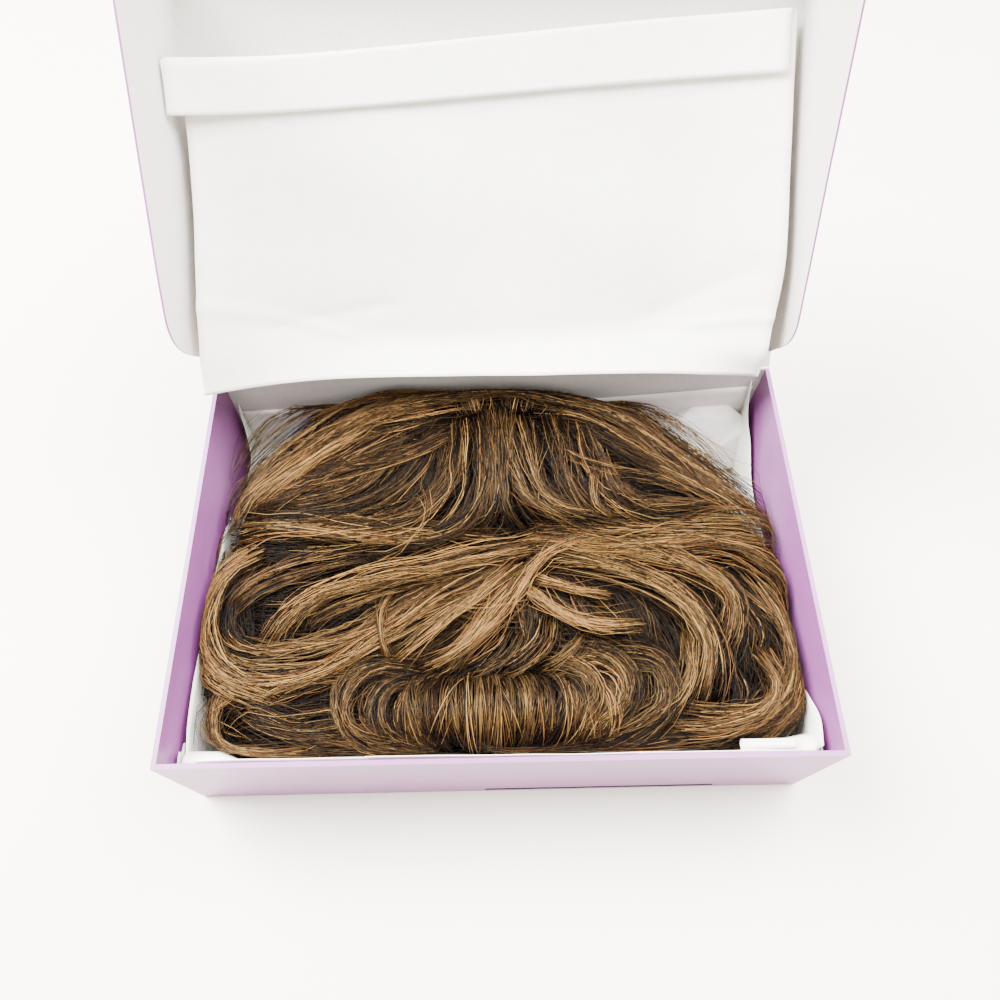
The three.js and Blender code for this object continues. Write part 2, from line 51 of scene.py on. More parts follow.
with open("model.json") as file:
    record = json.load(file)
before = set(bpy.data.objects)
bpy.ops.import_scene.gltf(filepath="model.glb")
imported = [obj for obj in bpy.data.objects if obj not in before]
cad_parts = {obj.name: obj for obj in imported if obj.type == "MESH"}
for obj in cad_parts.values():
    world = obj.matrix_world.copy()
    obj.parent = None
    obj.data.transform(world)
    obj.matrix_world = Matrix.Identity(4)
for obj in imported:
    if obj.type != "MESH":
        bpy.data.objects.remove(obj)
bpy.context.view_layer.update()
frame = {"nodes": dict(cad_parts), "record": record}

MM = 0.001

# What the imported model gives: the box, the wig's own extent and the lid's hinge
TRAY_LOW, TRAY_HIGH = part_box("tray")
BOX_WIDTH = TRAY_HIGH[0] - TRAY_LOW[0]
BOX_DEPTH = TRAY_HIGH[1] - TRAY_LOW[1]
WIG_SIDE = -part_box("left_side_hair")[0][0]
WIG_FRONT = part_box("front_under_hair")[0][1]
WIG_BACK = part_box("nape_hair")[1][1]
HAIR_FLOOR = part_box("nape_hair")[0][2]
CAP_LOW, CAP_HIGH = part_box("wig_cap")
CAP_MIDDLE = (CAP_LOW[2] + CAP_HIGH[2]) / 2
# How far the cap's end lies left of its mouth, and half the size of the way in to it
CAP_SKEW = 12 * MM
PASSAGE_HALF_WIDTH = 65 * MM
PASSAGE_HALF_HEIGHT = 10 * MM
PAPER_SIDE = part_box("paper_liner")[1][0]
# Inner faces of the lid's ears, which go down just outside the corner tabs
EAR_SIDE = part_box("right_corner_tab")[1][0] + 0.5 * MM
HINGE = Vector(frame["record"]["behaviour"]["joints"][0]["pos_m"])
LID_OPEN = math.radians(130)
LID_ALONG = Vector((0, -math.cos(LID_OPEN), math.sin(LID_OPEN)))
LID_INWARD = Vector((0, -math.sin(LID_OPEN), -math.cos(LID_OPEN)))
# The tray's front wall is rolled board, and the lid's lip stands with a gap behind it
ROLLED_WALL = 2.4 * MM
LIP_GAP = 2 * MM
LIP_DEPTH = 25 * MM
LID_LENGTH = BOX_DEPTH - (ROLLED_WALL + LIP_GAP)
# Gap between the rim and the closed lid
LID_GAP = 0.4 * MM

# The photograph's camera, in metres and degrees
CAMERA_AT = (-0.00727, -0.18416, 0.48631)
CAMERA_DOWN = 62.32
CAMERA_RIGHT = 2.37
CAMERA_ROLL = 1.267
CAMERA_LENS = 29.78
CAMERA_SENSOR = 36
# Height at which places in the wig were read from the photograph
READ_HEIGHT = 72 * MM


def linear(hex_colour):
    """An sRGB hex colour as linear red, green and blue."""
    value = hex_colour.lstrip("#")
    channels = [int(value[i:i + 2], 16) / 255 for i in (0, 2, 4)]
    return tuple(c / 12.92 if c <= 0.04045 else ((c + 0.055) / 1.055) ** 2.4 for c in channels)


class HairSettings(bpy.types.PropertyGroup):
    """Sizes and colours of the wig's fibres."""

    crown_height: FloatProperty(
        name="Height", description="Height of the hair's surface under its locks",
        default=72.5 * MM, unit="LENGTH")
    ceiling: FloatProperty(
        name="Ceiling", description="Height that no fibre passes, so that the lid closes",
        default=80.4 * MM, unit="LENGTH")
    relief: FloatProperty(
        name="Relief", description="How much the locks stand out, as a factor", default=1.5, min=0.0)
    fibre_width: FloatProperty(
        name="Fibre width", description="Width of a bundle of fibres that reads as one hair",
        default=0.37 * MM, unit="LENGTH")
    fibre_step: FloatProperty(
        name="Fibre step", description="Length of a straight stretch of a fibre",
        default=10.5 * MM, unit="LENGTH")
    fullness: FloatProperty(
        name="Fullness", description="Share of the full number of fibres", default=1.0, min=0.05, max=1.2)
    # Near black: painted shade of the fibres deep in the hollows
    dark: FloatVectorProperty(
        name="Dark", description="Fibres in the hollows", subtype="COLOR", size=3,
        default=linear("#060403"))
    brown: FloatVectorProperty(
        name="Brown", description="The wig's base brown", subtype="COLOR", size=3,
        default=linear("#17100A"))
    gold: FloatVectorProperty(
        name="Gold", description="Golden highlights", subtype="COLOR", size=3,
        default=linear("#4B3A20"))
    pale: FloatVectorProperty(
        name="Pale", description="Palest tips", subtype="COLOR", size=3,
        default=linear("#8E7042"))
    auburn: FloatVectorProperty(
        name="Auburn", description="Tint of the reddish hairs, multiplied with their brown",
        subtype="COLOR", size=4, default=(*linear("#F0BFB4"), 1.0))


class BoardSettings(bpy.types.PropertyGroup):
    """Sizes and colours of the card box."""

    thickness: FloatProperty(
        name="Board", description="Thickness of the folded board", default=1.0 * MM, unit="LENGTH")
    lilac: FloatVectorProperty(
        name="Lilac print", description="The printed outside", subtype="COLOR", size=3,
        default=linear("#884B86"))
    white: FloatVectorProperty(
        name="White side", description="The unprinted inside", subtype="COLOR", size=3,
        default=linear("#D2CDC8"))
    # Near black for the board core deep in the slot: painted shade
    core: FloatVectorProperty(
        name="Board core", description="The recycled core, as dark as it looks in the slot",
        subtype="COLOR", size=3, default=linear("#1B0D1B"))


class PaperSettings(bpy.types.PropertyGroup):
    """Sizes and colours of the wrapping paper."""

    thickness: FloatProperty(
        name="Paper", description="Thickness that the sheets are drawn with",
        default=0.35 * MM, unit="LENGTH")
    white: FloatVectorProperty(
        name="Paper white", description="Colour of the sheets", subtype="COLOR", size=3,
        default=linear("#F5F2EA"))


class StageSettings(bpy.types.PropertyGroup):
    """The table and the light."""

    table: FloatVectorProperty(
        name="Table", description="Colour of the pale table", subtype="COLOR", size=3,
        default=linear("#F2EDE1"))
    light: FloatProperty(
        name="Light", description="Strength of the soft light", default=1.0, min=0.0)
    segments: IntProperty(
        name="Table steps", description="Rings of the round table", default=64, min=8)


# Materials

def new_material(name):
    material = bpy.data.materials.new(name)
    material.use_nodes = True
    tree = material.node_tree
    return material, tree, tree.nodes["Principled BSDF"]


def add_node(tree, kind, settings=None, links=None):
    """Adds a node, sets its own fields and sockets, and links sockets to other nodes' outputs."""
    node = tree.nodes.new(kind)
    for key, value in (settings or {}).items():
        if isinstance(key, int) or key in node.inputs:
            node.inputs[key].default_value = value
        else:
            setattr(node, key, value)
    for key, source in (links or {}).items():
        tree.links.new(source, node.inputs[key])
    return node


def add_ramp(tree, texture, stops):
    """Turns a texture into a colour by (place, colour) stops and returns that colour's output."""
    node = add_node(tree, "ShaderNodeValToRGB", None, {"Fac": texture})
    ramp = node.color_ramp
    while len(ramp.elements) > 1:
        ramp.elements.remove(ramp.elements[-1])
    for index, (place, colour) in enumerate(stops):
        element = ramp.elements[0] if index == 0 else ramp.elements.new(place)
        element.position = place
        element.color = (*colour, 1)
    return node.outputs["Color"]


def add_noise(tree, scale, detail, **more):
    """Noise fixed to the object, of so many cycles a metre, as its output."""
    place = add_node(tree, "ShaderNodeTexCoord")
    noise = add_node(
        tree, "ShaderNodeTexNoise", {"Scale": scale, "Detail": detail, **more},
        {"Vector": place.outputs["Object"]})
    return noise.outputs["Fac"]


def emboss(tree, shader, texture, strength, distance):
    """Bumps a surface by a texture, over a distance in metres."""
    bump = add_node(
        tree, "ShaderNodeBump", {"Strength": strength, "Distance": distance}, {"Height": texture})
    tree.links.new(bump.outputs["Normal"], shader.inputs["Normal"])


def set_inputs(node, values):
    for key, value in values.items():
        node.inputs[key].default_value = value


def shaded(colour, share):
    """A colour with that share of its light."""
    return tuple(channel * share for channel in colour)


def heat_curled_fibre(settings):
    """Modacrylic wig fibre, extruded and heat-curled: brown and gold strands with hardly any gloss.

    Each fibre carries its own tone and warmth, so dark, golden and auburn hairs lie side by side.
    The tone also holds painted shade in the hollows and painted highlights on raised fibres.
    """
    material, tree, shader = new_material("heat_curled_modacrylic_fibre")
    tone = add_node(tree, "ShaderNodeAttribute", {"attribute_name": "tone"})
    warmth = add_node(tree, "ShaderNodeAttribute", {"attribute_name": "warmth"})
    # Flecks about 4 mm long break up a fibre's colour along its length
    shift = add_node(
        tree, "ShaderNodeMath", {"operation": "MULTIPLY_ADD", 1: 0.24, 2: -0.12},
        {0: add_noise(tree, 260.0, 2.0)})
    mixed = add_node(
        tree, "ShaderNodeMath", {"operation": "ADD"},
        {0: tone.outputs["Fac"], 1: shift.outputs["Value"]})
    browns = add_ramp(tree, mixed.outputs["Value"], [
        (0.0, settings.dark), (0.32, settings.brown), (0.68, settings.gold), (1.0, settings.pale)])
    auburn = add_node(
        tree, "ShaderNodeMix", {"data_type": "RGBA", "blend_type": "MULTIPLY", 7: settings.auburn},
        {0: warmth.outputs["Fac"], 6: browns})
    tree.links.new(auburn.outputs[2], shader.inputs["Base Color"])
    set_inputs(shader, {"Roughness": 0.38, "IOR": 1.5, "Specular IOR Level": 0.06})
    return material


def matted_fibre(settings):
    """The same fibre packed deep in the wig: nearly black, since hardly any light gets in."""
    material, tree, shader = new_material("packed_modacrylic_fibre")
    # Matted bunches about 3 mm across
    bunches = add_noise(tree, 330.0, 5.0)
    colour = add_ramp(tree, bunches, [(0.4, shaded(settings.dark, 0.35)), (0.75, settings.dark)])
    tree.links.new(colour, shader.inputs["Base Color"])
    emboss(tree, shader, bunches, 0.8, 2 * MM)
    set_inputs(shader, {"Roughness": 0.95, "IOR": 1.5, "Specular IOR Level": 0.0})
    return material


def printed_boxboard(settings):
    """Folding boxboard, offset printed in flat lilac: a satin face, with a faint fibre tooth."""
    material, tree, shader = new_material("lilac_printed_boxboard")
    # Print mottle, blotches about 12 mm across
    mottle = add_noise(tree, 80.0, 4.0)
    colour = add_ramp(tree, mottle, [(0.35, shaded(settings.lilac, 0.93)), (0.65, settings.lilac)])
    tree.links.new(colour, shader.inputs["Base Color"])
    # Paper tooth: 0.15 mm fibres are too fine to show, so it is drawn at 0.6 mm
    emboss(tree, shader, add_noise(tree, 1600.0, 3.0), 0.12, 0.2 * MM)
    set_inputs(shader, {"Roughness": 0.42, "IOR": 1.5, "Coat Weight": 0.15, "Coat Roughness": 0.3})
    return material


def bare_boxboard(settings):
    """Unprinted inside of the boxboard: clay-coated greyish white, matte, with faint specks."""
    material, tree, shader = new_material("white_clay_coated_board")
    specks = add_noise(tree, 420.0, 6.0, Roughness=0.7)
    colour = add_ramp(tree, specks, [(0.3, shaded(settings.white, 0.9)), (0.55, settings.white)])
    tree.links.new(colour, shader.inputs["Base Color"])
    emboss(tree, shader, specks, 0.15, 0.2 * MM)
    set_inputs(shader, {"Roughness": 0.62, "IOR": 1.5})
    return material


def painted_slot_shade(settings):
    """The board's grey recycled core deep in the slot, coloured near black: painted shade, since little
    light gets in there. Dull.
    """
    material, tree, shader = new_material("painted_slot_shade_board")
    fibres = add_noise(tree, 900.0, 3.0)
    colour = add_ramp(tree, fibres, [(0.3, shaded(settings.core, 0.4)), (0.7, settings.core)])
    tree.links.new(colour, shader.inputs["Base Color"])
    set_inputs(shader, {"Roughness": 0.9, "IOR": 1.5})
    return material


def wrapping_paper(settings):
    """Thin white wrapping paper, machine glazed: matte, embossed by handling."""
    material, tree, shader = new_material("machine_glazed_white_paper")
    cloud = add_noise(tree, 140.0, 5.0)
    colour = add_ramp(tree, cloud, [(0.3, shaded(settings.white, 0.95)), (0.6, settings.white)])
    tree.links.new(colour, shader.inputs["Base Color"])
    # Cockle: shallow dimples about 8 mm across, as in the sheet on the lid
    emboss(tree, shader, add_noise(tree, 110.0, 2.0), 0.25, 1 * MM)
    set_inputs(shader, {"Roughness": 0.75, "IOR": 1.5})
    return material


def stretch_net(settings):
    """Knitted nylon cap net, dyed dark brown: a dull mesh of threads about 1.2 mm apart."""
    material, tree, shader = new_material("knitted_nylon_cap_net")
    place = add_node(tree, "ShaderNodeTexCoord")
    net = add_node(
        tree, "ShaderNodeTexVoronoi", {"feature": "DISTANCE_TO_EDGE", "Scale": 800.0},
        {"Vector": place.outputs["Object"]})
    colour = add_ramp(tree, net.outputs["Distance"], [(0.05, settings.brown), (0.2, settings.dark)])
    tree.links.new(colour, shader.inputs["Base Color"])
    set_inputs(shader, {"Roughness": 0.85, "IOR": 1.53})
    return material


def laminate_table(settings):
    """A pale laminate table top, pressed smooth: nearly even, with the softest gloss."""
    material, tree, shader = new_material("pale_laminate_table")
    cloud = add_noise(tree, 6.0, 3.0)
    colour = add_ramp(tree, cloud, [(0.3, shaded(settings.table, 0.98)), (0.7, settings.table)])
    tree.links.new(colour, shader.inputs["Base Color"])
    set_inputs(shader, {"Roughness": 0.6})
    return material


MATERIALS = {}


def material_of(maker, settings):
    """One shared material for each maker."""
    key = maker.__name__
    if key not in MATERIALS:
        MATERIALS[key] = maker(settings)
    return MATERIALS[key]


# Meshes from arrays

def mesh_object(name, points, faces, materials, smooth=True, attributes=None, uv=None, kinds=None):
    """An object from an array of points and an array of faces with equal corners, or several."""
    points = np.asarray(points, float).reshape(-1, 3)
    groups = faces if isinstance(faces, list) else [faces]
    groups = [np.asarray(group) for group in groups if len(group)]
    corners = np.concatenate([group.ravel() for group in groups])
    counts = np.concatenate([np.full(len(group), group.shape[1]) for group in groups])
    starts = np.concatenate([[0], np.cumsum(counts)[:-1]])
    mesh = bpy.data.meshes.new(name)
    mesh.vertices.add(len(points))
    mesh.vertices.foreach_set("co", points.ravel())
    mesh.loops.add(len(corners))
    mesh.loops.foreach_set("vertex_index", corners.astype(np.int32))
    mesh.polygons.add(len(counts))
    mesh.polygons.foreach_set("loop_start", starts.astype(np.int32))
    mesh.polygons.foreach_set("use_smooth", np.broadcast_to(smooth, len(counts)).copy())
    if kinds is not None:
        mesh.polygons.foreach_set("material_index", np.asarray(kinds, np.int32))
    mesh.update(calc_edges=True)
    mesh.validate()
    for key, values in (attributes or {}).items():
        layer = mesh.attributes.new(key, "FLOAT", "POINT")
        layer.data.foreach_set("value", np.asarray(values, np.float32).ravel())
    if uv is not None:
        layer = mesh.uv_layers.new(name="OFBake")
        layer.data.foreach_set("uv", np.asarray(uv, np.float32).ravel())
    for material in materials:
        mesh.materials.append(material)
    made = bpy.data.objects.new(name, mesh)
    bpy.context.scene.collection.objects.link(made)
    return made


def grid_faces(rows, columns, start=0, flip=False):
    """Quads of a grid of points, row by row."""
    a = (np.arange(rows - 1)[:, None] * columns + np.arange(columns - 1)[None, :]).ravel() + start
    quads = np.stack([a, a + 1, a + columns + 1, a + columns], axis=1)
    return quads[:, ::-1] if flip else quads


def border(rows, columns):
    """The grid's border points, in order round it."""
    index = np.arange(rows * columns).reshape(rows, columns)
    return np.concatenate([index[0, :-1], index[:-1, -1], index[-1, :0:-1], index[:0:-1, 0]])


def grid_normals(grid):
    across = np.gradient(grid, axis=1)
    along = np.gradient(grid, axis=0)
    normals = np.cross(across, along)
    return normals / np.maximum(np.linalg.norm(normals, axis=2, keepdims=True), 1e-12)


def closed_sheet(grid, thickness):
    """Points and faces of a sheet with two faces and an edge, and which faces are its back."""
    rows, columns = grid.shape[:2]
    normals = grid_normals(grid) * thickness / 2
    points = np.concatenate([(grid + normals).reshape(-1, 3), (grid - normals).reshape(-1, 3)])
    front = grid_faces(rows, columns)
    back = grid_faces(rows, columns, rows * columns, flip=True)
    edge = border(rows, columns)
    after = np.roll(edge, -1)
    rim = np.stack([after, edge, edge + rows * columns, after + rows * columns], axis=1)
    kinds = np.concatenate([np.zeros(len(front)), np.ones(len(back) + len(rim))])
    return points, np.concatenate([front, back, rim]), kinds


def join_parts(parts):
    """Several (points, faces, kinds) as one."""
    points, faces, kinds, start = [], [], [], 0
    for part_points, part_faces, part_kinds in parts:
        points.append(part_points)
        faces.append(part_faces + start)
        kinds.append(part_kinds)
        start += len(part_points)
    return np.concatenate(points), np.concatenate(faces), np.concatenate(kinds)


def smoothstep(low, high, value):
    t = np.clip((value - low) / (high - low), 0, 1)
    return t * t * (3 - 2 * t)


def soften(values, window):
    """Values smoothed over an odd number of neighbours."""
    kernel = np.hanning(window) / np.hanning(window).sum()
    return np.convolve(np.pad(values, window // 2, mode="edge"), kernel, mode="valid")


def ripples(seed, count, low, high):
    """A gentle random relief: waves of low to high cycles a metre, about one high in all."""
    random = np.random.RandomState(seed)
    turns = random.uniform(0, 2 * math.pi, count)
    pitch = random.uniform(low, high, count)
    phase = random.uniform(0, 2 * math.pi, count)

    def relief(a, b):
        total = np.zeros(np.broadcast(a, b).shape)
        for turn, cycles, start in zip(turns, pitch, phase):
            total += np.sin(2 * math.pi * cycles * (a * math.cos(turn) + b * math.sin(turn)) + start)
        return total / count ** 0.5

    return relief


# The wig's surface. Places in it are shares of the box's width and depth, from its left and front.

# The outline from above: left and right edges at places from front to back
OUTLINE = [
    (0.010, 0.150, 0.780), (0.030, 0.110, 0.850), (0.050, 0.085, 0.885), (0.090, 0.065, 0.945),
    (0.150, 0.055, 0.970), (0.220, 0.045, 0.968), (0.280, 0.022, 0.965), (0.350, 0.016, 0.972),
    (0.420, 0.024, 0.984), (0.500, 0.042, 0.984), (0.550, 0.048, 0.972), (0.620, 0.052, 0.930),
    (0.680, 0.062, 0.892), (0.770, 0.088, 0.842), (0.870, 0.150, 0.780), (0.930, 0.195, 0.722),
    (0.975, 0.262, 0.640),
]
# How full the hair stands from front to back, as a share of its height over the cap's middle
FULLNESS = [
    (0.010, 0.68), (0.050, 0.84), (0.120, 0.93), (0.220, 0.92), (0.350, 0.90), (0.480, 0.90),
    (0.560, 0.93), (0.660, 1.00), (0.800, 1.00), (0.900, 1.00), (0.950, 1.02), (0.975, 1.02),
]


def smooth_table(rows, column):
    """A column of a table as a smooth function of its first column."""
    rows = np.array(rows)
    fine = np.linspace(rows[0, 0], rows[-1, 0], 161)
    soft = soften(np.interp(fine, rows[:, 0], rows[:, column]), 11)
    return lambda along: np.interp(along, fine, soft)


left_edge = smooth_table(OUTLINE, 1)
right_edge = smooth_table(OUTLINE, 2)
fullness = smooth_table(FULLNESS, 1)


def side_share(across, along):
    """0 in the middle of the wig, 1 at its outline."""
    left, right = left_edge(along), right_edge(along)
    return np.abs(2 * (across - left) / (right - left) - 1)


def hair_height(across, along, height):
    """Height of the hair's surface: rounded over at the outline, where it keeps 58 % of its height."""
    side = np.minimum(side_share(across, along), 1)
    arch = 0.58 + 0.42 * np.sqrt(1 - side ** 7)
    return CAP_MIDDLE + (height - CAP_MIDDLE) * arch * fullness(along)


def to_plan(across, along):
    return (across - 0.5) * BOX_WIDTH, (along - 0.5) * BOX_DEPTH


def to_shares(x, y):
    return x / BOX_WIDTH + 0.5, y / BOX_DEPTH + 0.5


def as_seen(x, y, z):
    """Moves places read at one height along the camera's rays to the height where they lie."""
    pull = (CAMERA_AT[2] - z) / (CAMERA_AT[2] - READ_HEIGHT)
    return CAMERA_AT[0] + (x - CAMERA_AT[0]) * pull, CAMERA_AT[1] + (y - CAMERA_AT[1]) * pull


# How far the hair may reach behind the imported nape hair, up to the paper
BACK_ROOM = 2.5 * MM


def stay_in_box(x, y, slack=0.0):
    """Keeps places off the paper that lines the walls."""
    side = WIG_SIDE - slack
    return np.clip(x, -side, side), np.clip(y, WIG_FRONT + slack, WIG_BACK + BACK_ROOM - slack)


# Fibres

# A lock's places from its start to its tips, each across and along as above, its width in mm, how far it
# stands out in mm, its tone from 0, dark, to 1, pale, and its weight when fibres are shared out. The tone
# is partly the hair's own colour and partly painted light: painted shade in the gaps, painted highlight on
# raised locks
Lock = namedtuple("Lock", "through width lift tone weight", defaults=(1.0,))
# Rows of fibres with as many points each: middle points, half widths, tones and up directions
Bundle = namedtuple("Bundle", "centres widths tones ups", defaults=(None,))

# A strand for each of these widths in half a lock, but three at least
STRAND_WIDTH = 0.8 * MM
FEWEST_STRANDS = 3
# The under layer is that much wider than its lock, and darker by that much: painted shade
UNDER_WIDTH = 1.9
UNDER_SHADE = 0.26
# How much darker the deepest fibres are: painted shade
DEPTH_SHADE = 0.36
# Shares of the fibres that leave their strand, and that catch the light, and how much lighter those are
LOOSE_SHARE = 0.30
GLINT_SHARE = 0.08
GLINT = 0.3
# How deep a fibre starts under its neighbours
SUNK_START = 4.5 * MM
# A fibre's straight stretches: one for each 14 degrees that its lock turns, or for each fibre step
STRETCH_TURN = 0.24
FEWEST_STRETCHES, MOST_STRETCHES = 6, 17
# A tube has six triangles a stretch and one at each end
STRETCH_TRIANGLES, END_TRIANGLES = 6, 2
# Locks count as that many mm wider when fibres are shared out, so that narrow ones get enough
WIDTH_MARGIN = 4


def smooth_path(through, samples):
    """Points evenly spaced along a Catmull-Rom curve through the given ones."""
    knots = np.array(through, float)
    ends = np.vstack([2 * knots[0] - knots[1], knots, 2 * knots[-1] - knots[-2]])
    fine = []
    for i in range(1, len(ends) - 2):
        t = np.linspace(0, 1, 24, endpoint=i == len(ends) - 3)[:, None]
        p0, p1, p2, p3 = ends[i - 1:i + 3]
        fine.append(0.5 * (2 * p1 + (p2 - p0) * t + (2 * p0 - 5 * p1 + 4 * p2 - p3) * t ** 2
                           + (3 * p1 - p0 - 3 * p2 + p3) * t ** 3))
    fine = np.vstack(fine)
    length = np.concatenate([[0], np.cumsum(np.linalg.norm(np.diff(fine, axis=0), axis=1))])
    even = np.linspace(0, length[-1], samples)
    return np.stack([np.interp(even, length, fine[:, k]) for k in range(fine.shape[1])], axis=1)


def unit(vectors):
    return vectors / np.maximum(np.linalg.norm(vectors, axis=-1, keepdims=True), 1e-9)


def tube_points(bundle, random):
    """Corner points of three-sided tubes along a bundle's fibres, each turned its own way."""
    centres, widths = bundle.centres, bundle.widths
    tangent = unit(np.gradient(centres, axis=1))
    up = np.array([0.0, 0.0, 1.0]) if bundle.ups is None else bundle.ups
    side = unit(np.cross(tangent, up))
    over = np.cross(side, tangent)
    twist = random.normal(0, 0.6, len(centres))[:, None, None]
    ring = []
    for reach, rise in [(-1.0, -0.35), (1.0, -0.35), (0.0, 0.7)]:
        turned_reach = reach * np.cos(twist) - rise * np.sin(twist)
        turned_rise = reach * np.sin(twist) + rise * np.cos(twist)
        ring.append(centres + widths[..., None] * (side * turned_reach + over * turned_rise))
    return np.stack(ring, axis=2)


def tubes(name, bundles, settings, seed):
    """One mesh of thin closed tubes along the fibres of bundles."""
    random = np.random.RandomState(seed)
    total = sum(len(bundle.centres) for bundle in bundles)
    # Each fibre has its own cell of the bake: its three sides stand next to each other along the cell's
    # height, with its ends below and above them
    cells = int(math.ceil(math.sqrt(total * 6)))
    rows = int(math.ceil(total / cells))
    points, tones, warmth, quads, caps, quad_uv, cap_uv = [], [], [], [], [], [], []
    start = fibres = 0
    for bundle in bundles:
        count, steps = bundle.centres.shape[:2]
        points.append(tube_points(bundle, random).reshape(-1, 3))
        tones.append(np.repeat(bundle.tones.ravel(), 3))
        warmth.append(np.repeat(random.uniform(0, 1, count) ** 2.5, steps * 3))
        index = start + np.arange(count * steps * 3).reshape(count, steps, 3)
        fibre = fibres + np.arange(count)
        cell_u, cell_v = fibre % cells, fibre // cells
        height = (0.05 + 0.9 * np.arange(steps) / (steps - 1))[None, :]
        for s in range(3):
            after = (s + 1) % 3
            quads.append(np.stack([
                index[:, :-1, s], index[:, :-1, after], index[:, 1:, after], index[:, 1:, s],
            ], axis=2).reshape(-1, 4))
            low = (cell_v[:, None] + height[:, :-1]) / rows
            high = (cell_v[:, None] + height[:, 1:]) / rows
            near = (cell_u[:, None] + 0.15 + 0.23 * s + 0 * low) / cells
            far = near + 0.23 / cells
            quad_uv.append(np.stack([
                np.stack([near, low], axis=-1), np.stack([far, low], axis=-1),
                np.stack([far, high], axis=-1), np.stack([near, high], axis=-1),
            ], axis=2).reshape(-1, 2))
        for end, order, level in ((0, (2, 1, 0), 0.03), (steps - 1, (0, 1, 2), 0.97)):
            caps.append(index[:, end, order])
            u = (cell_u[:, None] + np.array([0.2, 0.5, 0.8])[None, :]) / cells
            v = (cell_v[:, None] + level + np.array([0, 0.01, 0])[None, :]) / rows
            cap_uv.append(np.stack([u, v], axis=-1).reshape(-1, 2))
        start += count * steps * 3
        fibres += count
    return mesh_object(
        name, np.concatenate(points), [np.concatenate(quads), np.concatenate(caps)],
        [material_of(heat_curled_fibre, settings)],
        attributes={"tone": np.concatenate(tones), "warmth": np.concatenate(warmth)},
        uv=np.concatenate([*quad_uv, *cap_uv]))


